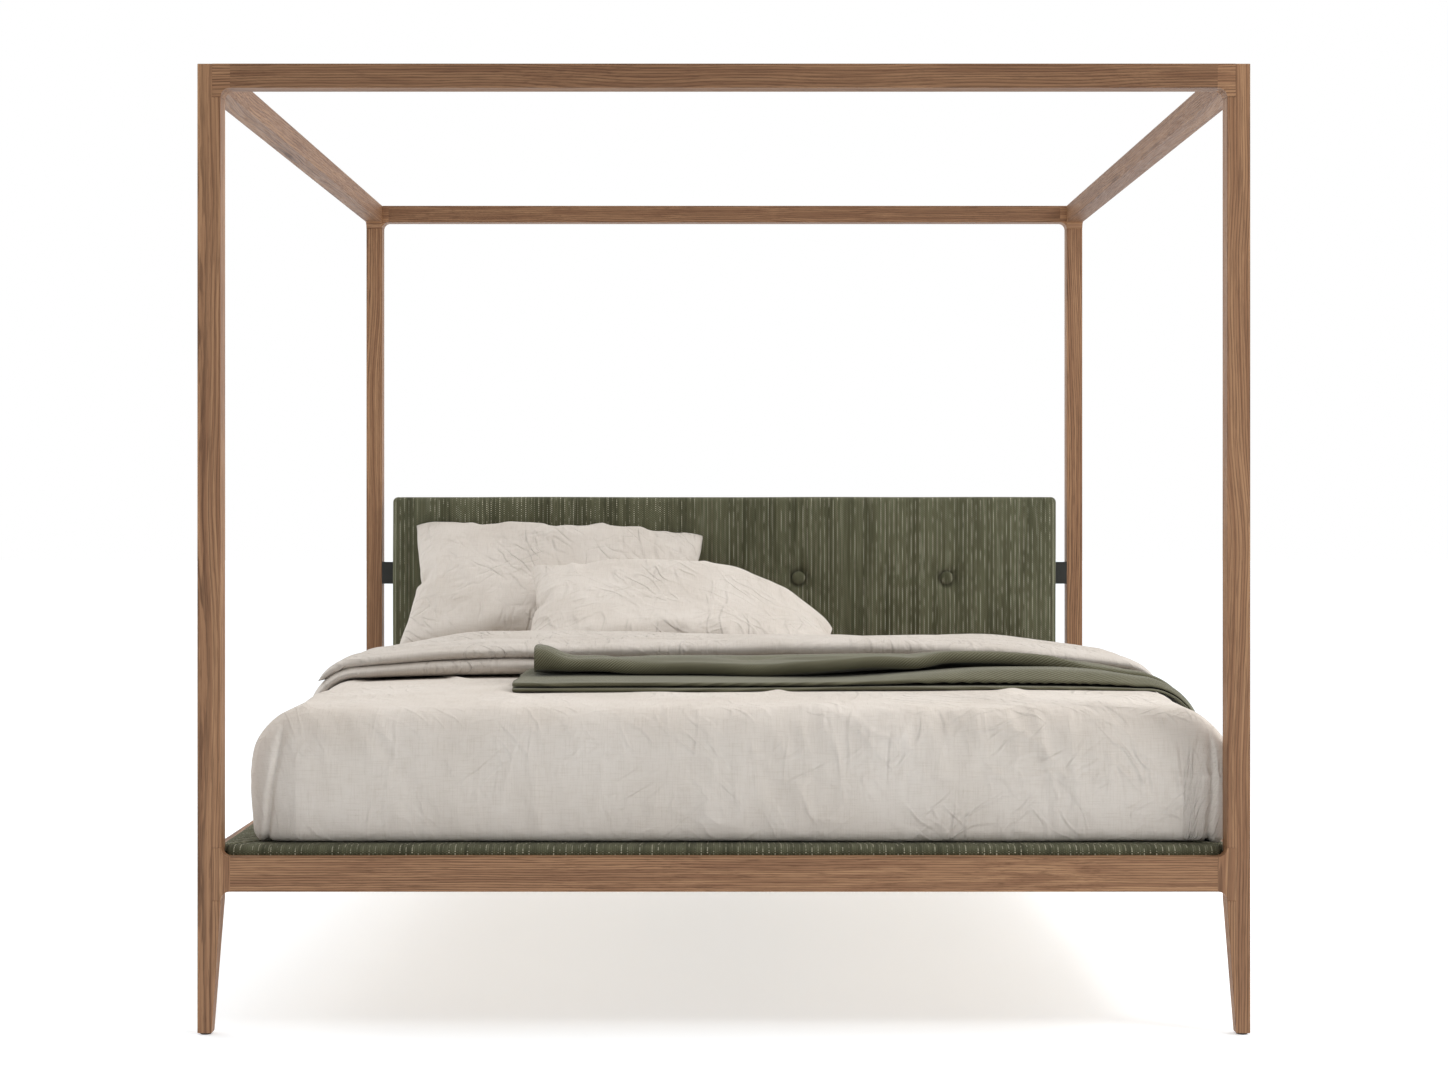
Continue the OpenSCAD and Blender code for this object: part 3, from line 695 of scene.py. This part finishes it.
class BED_OT_stage(bpy.types.Operator):
    """Sets the pale floor, the studio light and the camera"""
    bl_idname = "canopy_bed.stage"
    bl_label = "Set Stage"

    def execute(self, context):
        scene = context.scene
        scene.view_settings.view_transform = "Standard"
        scene.view_settings.look = "None"
        camera_data = bpy.data.cameras.new("Camera")
        camera_data.lens = 59.8
        camera_data.sensor_width = 36
        camera_data.shift_x = -0.001
        camera_data.shift_y = -0.0242
        camera = bpy.data.objects.new("Camera", camera_data)
        camera.location = (0.003, -5.6655, 1.001)
        camera.rotation_euler = (math.pi / 2, 0, 0)
        scene.collection.objects.link(camera)
        scene.camera = camera

        # dimmer from in front, and white wherever the camera sees it
        world = bpy.data.worlds.new("Studio")
        world.use_nodes = True
        tree = world.node_tree
        way = tree.nodes.new("ShaderNodeSeparateXYZ")
        tree.links.new(tree.nodes.new("ShaderNodeTexCoord").outputs["Generated"], way.inputs[0])
        glow = tree.nodes.new("ShaderNodeMapRange")
        for socket, value in zip(glow.inputs[1:5], (-0.9, 0.1, 0.35, 1.0)):
            socket.default_value = value
        tree.links.new(way.outputs["Y"], glow.inputs[0])
        seen = tree.nodes.new("ShaderNodeMath")
        seen.operation = "MAXIMUM"
        tree.links.new(glow.outputs[0], seen.inputs[0])
        tree.links.new(tree.nodes.new("ShaderNodeLightPath").outputs["Is Camera Ray"], seen.inputs[1])
        tree.links.new(seen.outputs[0], tree.nodes["Background"].inputs["Strength"])
        tree.nodes["Background"].inputs["Color"].default_value = (1, 1, 1, 1)
        scene.world = world

        floor = Finish("floor", roughness=0.9, specular_ior_level=0.0, base_color=(0.82, 0.85, 0.88, 1),
                       emission_color=(0.95, 0.98, 1, 1), emission_strength=0.42)
        bm = bmesh.new()
        bmesh.ops.create_grid(bm, x_segments=2, y_segments=2, size=40)
        mesh = bpy.data.meshes.new("floor")
        bm.to_mesh(mesh)
        bm.free()
        mesh.materials.append(floor.material)
        ground = bpy.data.objects.new("floor", mesh)
        scene.collection.objects.link(ground)

        for name, place, aim, size, power in (
                ("right", (3.9, 0.6, 2.7), (0.0, -0.2, 0.6), 2.2, 50),
                ("left", (-3.9, 1.2, 2.9), (0.0, -0.2, 0.6), 2.2, 34),
                ("above", (0.4, -0.6, 4.2), (0.0, 0.0, 0.4), 3.0, 26),
                ("raking", (3.1, -2.3, 3.0), (-0.3, -1.0, 0.4), 0.9, 38)):
            lamp_data = bpy.data.lights.new(name, "AREA")
            lamp_data.shape = "DISK"
            lamp_data.size = size
            lamp_data.energy = power
            lamp = bpy.data.objects.new(name, lamp_data)
            lamp.location = place
            lamp.rotation_euler = (Vector(aim) - Vector(place)).to_track_quat("-Z", "Y").to_euler()
            scene.collection.objects.link(lamp)
        return {"FINISHED"}


class BED_OT_timber(bpy.types.Operator):
    """Stains the posts, rails, blocks and knees, paints shade into the canopy rails' stain, and rounds
    their edges
    """
    bl_idname = "canopy_bed.timber"
    bl_label = "Finish Timber"

    def execute(self, context):
        sizes = context.scene.bed_sizes
        oak = [name for name, slot in SLOTS.items() if slot == "oak"]
        for seed, name in enumerate(sorted(oak)):
            node = frame["nodes"][name]
            low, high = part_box(name)
            size = high - low
            along = "XYZ"[max(range(3), key=lambda axis: size[axis])]
            if name.startswith("corner_block"):
                along = "X"
            node.data.materials.clear()
            # painted shade: the canopy's rails are the same timber as the posts, darkened towards the
            # pore colour
            depth = 0.32 if name.startswith("canopy") else 0.0
            node.data.materials.append(timber(f"oak_{name}", along, (low + high) / 2, seed + 1, depth))
            if name != "pocket_covers":
                ease(node, sizes.edge_round)
        return {"FINISHED"}


class BED_OT_fittings(bpy.types.Operator):
    """Finishes the steel, plastic, beech and plywood parts, which hold the bed together"""
    bl_idname = "canopy_bed.fittings"
    bl_label = "Finish Fittings"

    def execute(self, context):
        finishes = {
            "zinc_steel": ("zinc_plating", metal, srgb(196, 197, 192), 0.34, 1.0, 160.0),
            "grey_steel": ("grey_powder_coat", metal, srgb(128, 129, 127), 0.5, 0.0, 420.0),
            "black_steel": ("black_powder_coat", metal, srgb(33, 34, 28), 0.5, 0.0, 420.0),
            "black_plastic": ("moulded_black", metal, srgb(30, 30, 30), 0.55, 0.0, 260.0),
            "tie_cord": ("waxed_cord", metal, srgb(40, 41, 36), 0.8, 0.0, 600.0),
            "springs": ("spring_pockets", metal, srgb(214, 213, 208), 0.85, 0.0, 90.0),
            "beech": ("lacquered_beech", pale_wood, "X", srgb(220, 186, 144), srgb(188, 148, 104), 300.0),
            "plywood": ("sanded_plywood", pale_wood, "X", srgb(206, 176, 136), srgb(170, 136, 96), 260.0),
        }
        for name, slot in SLOTS.items():
            if slot not in finishes:
                continue
            material = finish_of(*finishes[slot])
            node = frame["nodes"][name]
            node.data.materials.clear()
            node.data.materials.append(material)
        for name in ("headboard_brackets", "slat_frame", "ledger_foot", "ledger_head", "ledger_left",
                     "ledger_right", "headboard_plates"):
            ease(frame["nodes"][name], 0.0008, 2)
        return {"FINISHED"}


def button_places():
    """Where the headboard's buttons are: their centres along X, their radius and their level."""
    low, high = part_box("headboard_buttons")
    radius = (high.z - low.z) / 2
    reach = high.x - radius
    return [reach * part for part in (-1, -1 / 3, 1 / 3, 1)], radius, (low.z + high.z) / 2


class BED_OT_headboard(bpy.types.Operator):
    """Covers the headboard: padding pulled in by its buttons, piping down its sides, and its back"""
    bl_idname = "canopy_bed.headboard"
    bl_label = "Cover Headboard"

    def execute(self, context):
        sizes = context.scene.bed_sizes
        low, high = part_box("headboard_pad")
        centres, radius, level = button_places()
        roll = 0.012                                    # radius of the padding's front edge
        corner = 0.014                                  # radius of the headboard's corners
        hem_turn = 0.006
        hem = 0.018
        depth = high.y - low.y
        legs = ((corner - roll, 0), (roll * QUARTER, QUARTER), (depth - roll - hem_turn, 0),
                (hem_turn * QUARTER, QUARTER), (hem, 0))
        inner = ((low.x + corner, low.z + corner), (high.x - corner, high.z - corner))

        def relief(point, normal):
            if point.y > low.y + roll:
                return 0.0
            sunk = 0.0
            for centre in centres:
                away = math.hypot(point.x - centre, point.z - level)
                if away > 0.22:
                    continue
                turn = math.atan2(point.z - level, point.x - centre)
                gap = max(away - radius, 0.0)
                pull = 0.8 * math.exp(-gap / 0.011) + 0.2 * math.exp(-gap / 0.06)
                rays = ridge(rough(math.cos(turn) * 2.2, math.sin(turn) * 2.2, centre * 9), 0.13)
                sunk += sizes.button_pull * pull * (1 + 0.15 * rays)
                sunk += 0.0024 * rays * smooth(0.17, 0.03, away)
            return 0.0012 * rough(point.x * 3, point.z * 3, 0.4) - sunk

        cover("headboard_cover", inner, legs, (0.0065, 0.0065),
              lambda across, along, down: Vector((across, low.y + down, along)),
              weave(), BED, ("headboard_pad",), relief)

        piping = []
        foot = low.z + 0.020
        steps = 60
        for side in (-1, 1):
            x = side * (high.x - 0.010)
            path = [(x, low.y + 0.0004, foot + (high.z - 0.006 - foot) * step / steps)
                    for step in range(steps + 1)]
            piping.append(tube(path, 0.0022))
        piece(join(piping), "headboard_piping", piping_cloth(), BED, closed=True)

        back_low, back_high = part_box("headboard_back")
        wide, thick, tall = back_high - back_low
        soft_edge = 0.006

        def back(u, v, side):
            edge = min(u * wide, (1 - u) * wide, v * tall, (1 - v) * tall)
            full = thick / 2 * min(edge / soft_edge, 1.0) ** 0.5
            return Vector((back_low.x + u * wide, back_low.y + thick / 2 + side * full,
                           back_low.z + v * tall))

        piece(filled_form(160, 60, (wide, tall), back), "headboard_back_panel", weave(), BED,
              ("headboard_back",), closed=True)
        return {"FINISHED"}


class BED_OT_buttons(bpy.types.Operator):
    """Covers the headboard's buttons"""
    bl_idname = "canopy_bed.buttons"
    bl_label = "Cover Buttons"

    def execute(self, context):
        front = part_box("headboard_buttons")[0].y
        centres, radius, level = button_places()
        crown = 0.35                                    # how far the face turns towards its edge
        rim = 0.006
        back_rim = 0.004
        side = 0.003
        legs = ((radius - rim, crown), (rim * QUARTER, QUARTER - crown), (side, 0),
                (back_rim * QUARTER, QUARTER), (radius, 0))
        buttons = []
        for centre in centres:
            def shape(u, v):
                out, down, _ = walk(legs, v * (2 * radius + 0.010))
                out = max(out, 0.0) if v < 1 else 0.0
                turn = u * 2 * math.pi
                return Vector((centre + out * math.cos(turn), front + 0.0005 + down,
                               level + out * math.sin(turn)))

            bm = cut_cloth(40, 26, (1.0, 1.0), shape)
            change_cut(bm, lambda loop, uv: (loop.vert.co.x, loop.vert.co.z))
            buttons.append(bm)
        piece(join(buttons), "covered_buttons", weave(), BED, ("headboard_buttons",),
              closed=True)
        return {"FINISHED"}


class BED_OT_border(bpy.types.Operator):
    """Pads the four border boards, with piping in the mitred seams at their corners"""
    bl_idname = "canopy_bed.border"
    bl_label = "Pad Border"

    def execute(self, context):
        low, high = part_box("border_pad_foot")
        outer_x = -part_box("border_pad_left")[0].x
        outer_y = -low.y
        clear_x = -low.x                                # where the rolls stop short of the posts
        clear_y = -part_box("border_pad_left")[0].y
        width, thick = high.y - low.y, high.z - low.z
        middle = (low.z + high.z) / 2
        square_out, square_up, square_under = 0.55, 0.62, 0.4
        end_round = 0.007
        for name in ("foot", "head", "left", "right"):
            flip = -1 if name in ("foot", "left") else 1
            beside = name in ("left", "right")
            longest, stop, outer = (outer_y, clear_y, outer_x) if beside else (outer_x, clear_x, outer_y)

            def shape(u, v):
                turn = v * 2 * math.pi
                out = squarer(math.cos(turn), square_out)
                up = squarer(math.sin(turn), square_up if turn < math.pi else square_under)
                reach = min(longest - width / 2 * (1 - out), stop)
                run = (2 * u - 1) * reach
                puff = dome((1 - abs(2 * u - 1)) * reach / end_round)
                lump = 1 + 0.03 * rough(run * 7, flip * 3.0 + beside, out) if up > 0 else 1
                z = middle + thick / 2 * up * puff * lump
                across = flip * (outer - width / 2 + width / 2 * out * puff)
                return Vector((across, run, z)) if beside else Vector((run, across, z))

            bm = cut_cloth(360, 36, (2 * longest, 2 * (width + thick)), shape)
            cushion = piece(bm, f"border_roll_{name}", weave(), BED,
                            (f"border_pad_{name}",), closed=True)

        piping = []
        steps = 24
        for side_x in (-1, 1):
            for side_y in (-1, 1):
                path = []
                for step in range(steps + 1):
                    turn = math.pi * step / steps
                    inset = width / 2 * (1 - squarer(math.cos(turn), square_out))
                    rise = thick / 2 + 0.001 - 0.003 * step / steps
                    path.append((side_x * min(outer_x - inset, clear_x),
                                 side_y * min(outer_y - inset, clear_y),
                                 middle + rise * abs(math.sin(turn)) ** square_up))
                piping.append(tube(path, 0.0026))
        piece(join(piping), "border_piping", piping_cloth(), BED, closed=True)
        return {"FINISHED"}


class BED_OT_mattress(bpy.types.Operator):
    """Makes the mattress, with its quilted ticking"""
    bl_idname = "canopy_bed.mattress"
    bl_label = "Make Mattress"

    def execute(self, context):
        low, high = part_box("mattress_casing")
        bm = bmesh.new()
        bmesh.ops.create_cube(bm, size=1.0)
        bmesh.ops.scale(bm, vec=high - low - Vector((0.012, 0.012, 0.012)), verts=bm.verts)
        bmesh.ops.bevel(bm, geom=bm.edges[:], offset=0.055, segments=5, profile=0.5, affect="EDGES",
                        material=-1)
        bmesh.ops.subdivide_edges(bm, edges=[edge for edge in bm.edges if edge.calc_length() > 0.1],
                                  cuts=60, use_grid_fill=True)

        def quilting(point, normal):
            quilt = abs(math.sin(point.x * 28) * math.sin(point.y * 28)) ** 0.5
            flat = abs(normal.z) ** 4
            return 0.006 * (flat * quilt + (1 - flat) * 0.5)

        raise_by(bm, quilting)
        bmesh.ops.translate(bm, vec=(low + high) / 2, verts=bm.verts)
        bm.loops.layers.uv.new("cut")
        change_cut(bm, lambda loop, uv: (loop.vert.co.x, loop.vert.co.y + loop.vert.co.z))
        ticking = finish_of("mattress_ticking", linen, srgb(238, 236, 230), srgb(216, 214, 208))
        mattress = piece(bm, "mattress", ticking, BED, ("mattress_casing",), closed=True)
        return {"FINISHED"}


class BED_OT_bedspread(bpy.types.Operator):
    """Lays the linen over the mattress, tucks it under and pleats its corners"""
    bl_idname = "canopy_bed.bedspread"
    bl_label = "Lay Bedspread"

    def execute(self, context):
        crease = context.scene.bed_sizes.crease
        bed = Bed()
        low, high, edge = bed.low.copy(), bed.high, bed.edge
        low.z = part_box("mattress_casing")[0].z + 0.0005
        tuck = 0.024                                    # radius of the turn under the mattress
        under = 0.05                                    # length of cloth below it
        drop = high.z - low.z - edge - tuck
        legs = ((edge * QUARTER, QUARTER), (drop, 0), (tuck * QUARTER, QUARTER), (under, 0))
        inner = ((low.x + edge, low.y + edge), (high.x - edge, high.y - edge))
        long = inner[1][1] - inner[0][1] + 2 * length_of(legs)
        foot = 0.46 / long                              # the finely divided part at the foot
        share = 0.42                                    # its share of the rows

        def rows(v):
            if v < share:
                return v / share * foot
            return foot + (v - share) / (1 - share) * (1 - foot)

        def relief(point, normal):
            x, y, z = point
            flank = smooth(high.z - 0.01, high.z - edge, z)
            front = smooth(low.y + edge, low.y + 0.03, y)
            tucked = smooth(low.z, low.z + 0.03, z)
            below = (high.z - z) / (high.z - low.z)
            cloth_y = y + (high.z - z)
            total = bed.rise(x, y) * (1 - flank) + 0.0030 * rough(x * 2.6, cloth_y * 3.1, z * 2)
            total += (1 - front) * crease * 0.8 * creases(x, y, 5.5, (3.4, 3.4), 0.12)

            # the foot's creases, busier to the right
            busy = 0.5 + 0.5 * smooth(-0.45, 0.45, x)
            patch = smooth(-0.35, 0.25, rough(x * 2.3, z * 4.0, 1.9))
            lines = creases(x, z, 3.1, (9.0, 2.6), 0.12)
            lines += 0.9 * creases(x * 0.8 + z * 0.6, z - x * 0.5, 7.7, (8.0, 4.0), 0.10)
            lines += 0.6 * creases(x, z * 1.2, 12.3, (17.0, 8.0), 0.12)
            total += front * tucked * busy * patch * crease * lines

            # puckers under its upper edge, a fold line across it and the fullness of its side
            pucker = rough(x * 19.0 + 2 * rough(x * 3, z * 5, 0), z * 3.0, 4.4)
            gathered = smooth(-0.30, 0.10, x) * smooth(0.85, 0.45, x)
            gathered *= smooth(0.9, 0.2, (high.z - z) / 0.28)
            total += front * gathered * 0.0055 * pucker
            level = (low.z + high.z) / 2 + 0.004 * rough(x * 6, 0.3, 0.0)
            total += front * smooth(0.1, 0.5, x) * 0.0035 * ridge(z - level, 0.007)
            total += flank * 0.006 * math.sin(math.pi * smooth(low.z, high.z - edge * 0.5, z))

            # the pleat down each front corner
            near = smooth(high.y - 0.4, low.y + 0.1, y) * flank * front
            for side, corner in ((-1, low.x), (1, high.x)):
                inward = (x - corner) * -side
                line = 0.058 - 0.036 * below if side < 0 else 0.030 - 0.004 * math.sin(below * math.pi)
                line += 0.003 * rough(z * 14, side * 4.0, 0)
                total += near * 0.007 * smooth(line + 0.004, line - 0.003, inward)
                total -= near * 0.006 * ridge(inward - line - 0.004, 0.005)
            return total

        quiet, busy_from = 0.7, 1.9                     # across the flat cut
        cloth = finish_of("spread_linen", linen, colour("linen"), colour("linen_shade"), quiet, busy_from)
        spread, flat = cover("bedspread_linen", inner, legs, (0.0068, 0.0102),
                             lambda across, along, down: Vector((across, along, high.z - down)),
                             cloth, BED, ("bedspread",), relief, rows,
                             lambda side_x, side_y: 7 if side_x > 0 > side_y else 3.4)
        return {"FINISHED"}


class BED_OT_duvet(bpy.types.Operator):
    """Folds the duvet in two layers across the bed and over its sides"""
    bl_idname = "canopy_bed.duvet"
    bl_label = "Fold Duvet"

    def execute(self, context):
        bed = Bed()
        low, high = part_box("duvet")
        top = bed.half.x - bed.edge
        side_edge = top + bed.edge * QUARTER
        reach = side_edge + bed.high.z - bed.edge - low.z
        loft = (high.z - bed.high.z) / 2
        cloth = finish_of("duvet_cloth", linen, tuple(0.90 * part for part in colour("linen")),
                          tuple(0.88 * part for part in colour("linen_shade")))
        layers = []
        for layer, front, back, half in ((0, low.y, high.y, reach),
                                         (1, low.y + 0.020, high.y - 0.004, reach - 0.13)):
            def shape(u, v, side):
                run = (2 * u - 1) * half
                over = smooth(top - 0.30, side_edge, abs(run))
                ends = dome((1 - abs(2 * u - 1)) * half / 0.045)
                sides = dome(min(v, 1 - v) * (back - front) / 0.055)
                wave = rough(run * 1.7, v * 1.2 + layer * 5, 0.3)
                soft = rough(run * 6.5, v * 4.0, layer * 3.0)
                slack = loft * (1 - 0.42 * over) * (1 + 0.22 * wave)
                y = front + v * (back - front)
                y += (0.020 * wave + 0.005 * soft) * (1 - 0.7 * v)
                y += over * 0.02 * rough(run * 5, v * 2.5, 1.7 + layer)
                crease = creases(run, y * 1.3, 2.0 + layer * 3, (2.4, 8.0), 0.12)
                height = 0.003 + (layer + 0.5) * slack * (1 - 0.12 * layer)
                height += side * (slack - 0.003) * ends * sides / 2
                if side > 0:
                    height += (0.005 * soft - 0.005 * crease) * ends * sides
                return bed.over(run, height, y, bed.edge, top)

            layers.append(filled_form(380, 58, (2 * reach, back - front), shape))
        duvet = piece(join(layers), "duvet_folded", cloth, BED, ("duvet",), closed=True)
        return {"FINISHED"}


class BED_OT_throw(bpy.types.Operator):
    """Folds the throw in layers across the foot of the bed and over its right side"""
    bl_idname = "canopy_bed.throw"
    bl_label = "Fold Throw"

    def execute(self, context):
        bed = Bed()
        low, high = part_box("throw_blanket")
        material = finish_of("brushed_twill", twill, colour("throw_colour_and_rib_highlight"), colour("throw_groove_painted_shade"))
        deep = high.y - low.y
        pitch = 0.0052                                  # from one folded layer to the next
        turn = math.pi * pitch / 2
        roll = 0.0125                                   # radius of the loose roll on top

        def legs_at(v):
            """The folded width, from the bottom layer up, which ends in a loose roll."""
            front = 0.165 + 0.07 * smooth(0.15, 0.45, v) - 0.13 * smooth(0.46, 0.80, v)
            loose = roll * (1 + 0.25 * rough(v * 4.0, 0.0, 3.3) + 0.5 * smooth(0.08, 0.0, v))
            step = 0.010 * rough(v * 5.0, 2.0, 0.0)
            return ((deep - 0.004, 0), (turn, -math.pi), (deep - 0.018, 0), (turn, math.pi),
                    (deep - 0.030 + step, 0), (turn, -math.pi), (deep - 0.050 + step, 0),
                    (turn * 1.4, math.pi), (front, 0), (math.pi * loose, -math.pi), (front - 0.02, 0))

        width = length_of(legs_at(0.5))
        edge = 0.11                                     # the bed's edge as the throw rounds it
        top = high.x - 0.018 - edge - bed.middle.x
        start = low.x - bed.middle.x
        run_length = top - start + edge * QUARTER + (bed.high.z - edge - low.z)

        def shape(u, v):
            legs = legs_at(v)
            across, up, _ = walk(legs, u * length_of(legs))
            up = -up
            share = across / deep
            layer = u * 6
            run = start + v * run_length
            right = smooth(start + 0.2, top + 0.1, run)
            hung = smooth(top - 0.22, top + edge * QUARTER * 0.7, run)
            spread = smooth(top + edge, top + edge * QUARTER + 0.12, run)
            soft = rough(run * 2.6, layer * 0.7, 0.2)
            slow = rough(run * 1.3, layer * 0.25, 6.2)
            fine = rough(run * 9.0, layer * 1.3, across * 8)
            wave = (0.016 * soft + 0.018 * slow) * (0.1 + 1.3 * share) * (1 - 0.75 * hung)
            y = high.y - 0.004 - across * (1 - 0.24 * right - 0.14 * hung + 0.10 * spread)
            y += wave + 0.002 * fine

            rolled = smooth(0.70, 0.80, u)
            fold = creases(run, across * 3.0 + 0.35 * run, 4.4, (1.6, 2.6), 0.16)
            swell = smooth(0.36, 0.62, v) * smooth(1.0, 0.72, v) * smooth(0.30, 0.42, u)
            swell *= smooth(0.30, 0.62, share) * smooth(0.98, 0.86, share)
            height = 0.0022 + up * (1 + 0.30 * slow) * (1 - 0.60 * hung)
            height += rolled * (0.010 * (0.5 + soft) - 0.010 * fold) * (1 - hung)
            height += swell * (0.022 + 0.006 * soft) * (1 - 0.5 * hung)
            height += 0.0012 * fine * (0.3 + rolled)

            end = smooth(0.07, 0.0, v)
            height += rolled * end * 0.006 * max(up / (4 * pitch) - 0.6, 0.0)
            run += (0.018 * rough(layer * 2.1, 4.0, 0) + 0.03 * rolled) * end
            return bed.over(run, max(height, 0.0016), y, edge, top)

        bm = cut_cloth(190, 210, (width, run_length), shape)
        throw = piece(bm, "folded_throw", material, "throw", ("throw_blanket",))
        thicken = throw.modifiers.new("Cloth", "SOLIDIFY")
        thicken.thickness = 0.0024
        thicken.offset = 0.0
        return {"FINISHED"}


def inflate(bm, pressure, frames):
    """Fills a closed cover by cloth simulation, and returns the cover as it comes to rest."""
    mesh = bpy.data.meshes.new("cover")
    bm.to_mesh(mesh)
    bm.free()
    body = bpy.data.objects.new("cover", mesh)
    scene = bpy.context.scene
    scene.collection.objects.link(body)
    cloth = body.modifiers.new("Filling", "CLOTH")
    cloth.point_cache.frame_start = 1
    cloth.point_cache.frame_end = frames
    cloth.settings.quality = 7
    cloth.settings.mass = 0.25
    cloth.settings.tension_stiffness = 30
    cloth.settings.compression_stiffness = 30
    cloth.settings.shear_stiffness = 8
    cloth.settings.bending_stiffness = 0.15
    cloth.settings.air_damping = 4
    cloth.settings.use_pressure = True
    cloth.settings.uniform_pressure_force = pressure
    cloth.settings.effector_weights.gravity = 0
    cloth.collision_settings.use_collision = False
    for number in range(1, frames + 1):
        scene.frame_set(number)
    depsgraph = bpy.context.evaluated_depsgraph_get()
    filled = bpy.data.meshes.new_from_object(body.evaluated_get(depsgraph),
                                             preserve_all_data_layers=True, depsgraph=depsgraph)
    bpy.data.objects.remove(body)
    scene.frame_set(1)
    result = bmesh.new()
    result.from_mesh(filled)
    bpy.data.meshes.remove(filled)
    bpy.data.meshes.remove(mesh)
    return result


class BED_OT_pillows(bpy.types.Operator):
    """Fills the two pillows and leans them, one on the headboard and one on the other"""
    bl_idname = "canopy_bed.pillows"
    bl_label = "Fill Pillows"

    def execute(self, context):
        sizes = context.scene.bed_sizes
        bed = Bed()
        wide, high, thick = 0.80, 0.50, 0.14            # the filled pillow
        cut_width, cut_height = 0.86, 0.56              # its flat cover
        bulge = 0.006          # of the cover before it is filled
        under = None
        for name, body, lean, slump in (("rear", "rear_pillow", 40, 0.10),
                                        ("front", "front_pillow", 25, 0.80)):
            low_box, high_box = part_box(f"pillow_{name}")

            def flat_cover(u, v, side):
                gap = min(u, 1 - u, v, 1 - v)
                puff = bulge * min(gap / 0.25, 1.0) ** 0.6
                return Vector(((u - 0.5) * cut_width, (v - 0.5) * cut_height, side * puff))

            def wrinkles(point, normal):
                x, y, z = point
                rim = max(abs(x) / wide, abs(y) / high) * 2
                lines = creases(x * 1.2, y, lean, (7.0, 4.5), 0.13)
                lines += creases(y, x, lean + 3, (4.0, 9.0), 0.12)
                return 0.0045 * lines * smooth(0.25, 0.75, rim) * smooth(1.0, 0.93, rim)

            bm = filled_form(86, 56, (cut_width, cut_height), flat_cover)
            bm = inflate(bm, sizes.pillow_pressure, 26)
            spans = [max(vert.co[axis] for vert in bm.verts) - min(vert.co[axis] for vert in bm.verts)
                     for axis in range(3)]
            scale = Vector((wide / spans[0], high / spans[1], thick / spans[2]))
            bmesh.ops.scale(bm, vec=scale, verts=bm.verts)
            raise_by(bm, wrinkles)
            tilt = math.radians(lean)
            upward = Vector((0, math.cos(tilt), math.sin(tilt)))
            outward = Vector((0, -math.sin(tilt), math.cos(tilt)))
            start = Vector(((low_box.x + high_box.x) / 2, low_box.y + 0.017, bed.high.z + 0.018))
            for vert in bm.verts:
                x, y, z = vert.co
                rise = y + high / 2
                droop = slump * (max(x + 0.04, 0.0) / 0.44) ** 2.3 * rise * math.sin(tilt)
                droop -= 0.014 * rough(x * 5.0, 2.0, lean) * (rise / high) ** 3
                sag = -0.020 * 4 * rise / high * (1 - rise / high)
                spot = start + Vector((x, 0, 0)) + upward * rise + outward * (z + sag + thick * 0.06)
                spot.z -= droop
                vert.co = spot
            bm.normal_update()
            upper = {vert: vert.normal.dot(outward) > 0 for vert in bm.verts}
            for vert in bm.verts:
                keep = 0.012 if upper[vert] else 0.0
                floor = bed.high.z + bed.rise(vert.co.x, vert.co.y) + 0.003 + keep
                vert.co.z = max(vert.co.z, floor)
                vert.co.y = min(vert.co.y, HEADBOARD_FACE - 0.003 - keep)
                if under:
                    hit = under.ray_cast(vert.co + outward * 0.6, -outward, 0.8)[0]
                    if hit:
                        short = (hit - vert.co).dot(outward) + 0.003 + keep
                        if short > 0:
                            vert.co += outward * short
            bmesh.ops.smooth_vert(bm, verts=bm.verts, factor=0.3, use_axis_x=True, use_axis_y=True,
                                  use_axis_z=True)
            under = BVHTree.FromBMesh(bm)
            pillow = piece(bm, f"pillow_{name}_filled", bed_linen(), body, (f"pillow_{name}",),
                           closed=True)
            smoothing = pillow.modifiers.new("Smooth", "SUBSURF")
            smoothing.levels = smoothing.render_levels = 1
        return {"FINISHED"}


class BED_PT_panel(bpy.types.Panel):
    """Lists the bed's operators in the order that they run"""
    bl_idname = "BED_PT_panel"
    bl_label = "Four Poster Canopy Bed"
    bl_space_type = "VIEW_3D"
    bl_region_type = "UI"
    bl_category = "Canopy Bed"

    def draw(self, context):
        for group in (context.scene.bed_sizes, context.scene.bed_colours):
            column = self.layout.column()
            for name in group.bl_rna.properties.keys():
                if name not in ("rna_type", "name"):
                    column.prop(group, name)
        for operator in OPERATORS:
            self.layout.operator(operator.bl_idname)


OPERATORS = (BED_OT_stage, BED_OT_timber, BED_OT_fittings, BED_OT_headboard, BED_OT_buttons,
             BED_OT_border, BED_OT_mattress, BED_OT_bedspread, BED_OT_duvet, BED_OT_throw,
             BED_OT_pillows)
CLASSES = (BedSizes, BedColours) + OPERATORS + (BED_PT_panel,)
SLOTS = {part["node"]: part["material_slot"] for part in frame["record"]["subparts"]}
HEADBOARD_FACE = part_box("headboard_pad")[0].y


def register():
    for cls in CLASSES:
        bpy.utils.register_class(cls)
    bpy.types.Scene.bed_sizes = bpy.props.PointerProperty(type=BedSizes)
    bpy.types.Scene.bed_colours = bpy.props.PointerProperty(type=BedColours)


def unregister():
    del bpy.types.Scene.bed_colours
    del bpy.types.Scene.bed_sizes
    for cls in reversed(CLASSES):
        bpy.utils.unregister_class(cls)


def main():
    register()
    for operator in OPERATORS:
        group, name = operator.bl_idname.split(".")
        getattr(getattr(bpy.ops, group), name)()


if __name__ == "__main__":
    main()
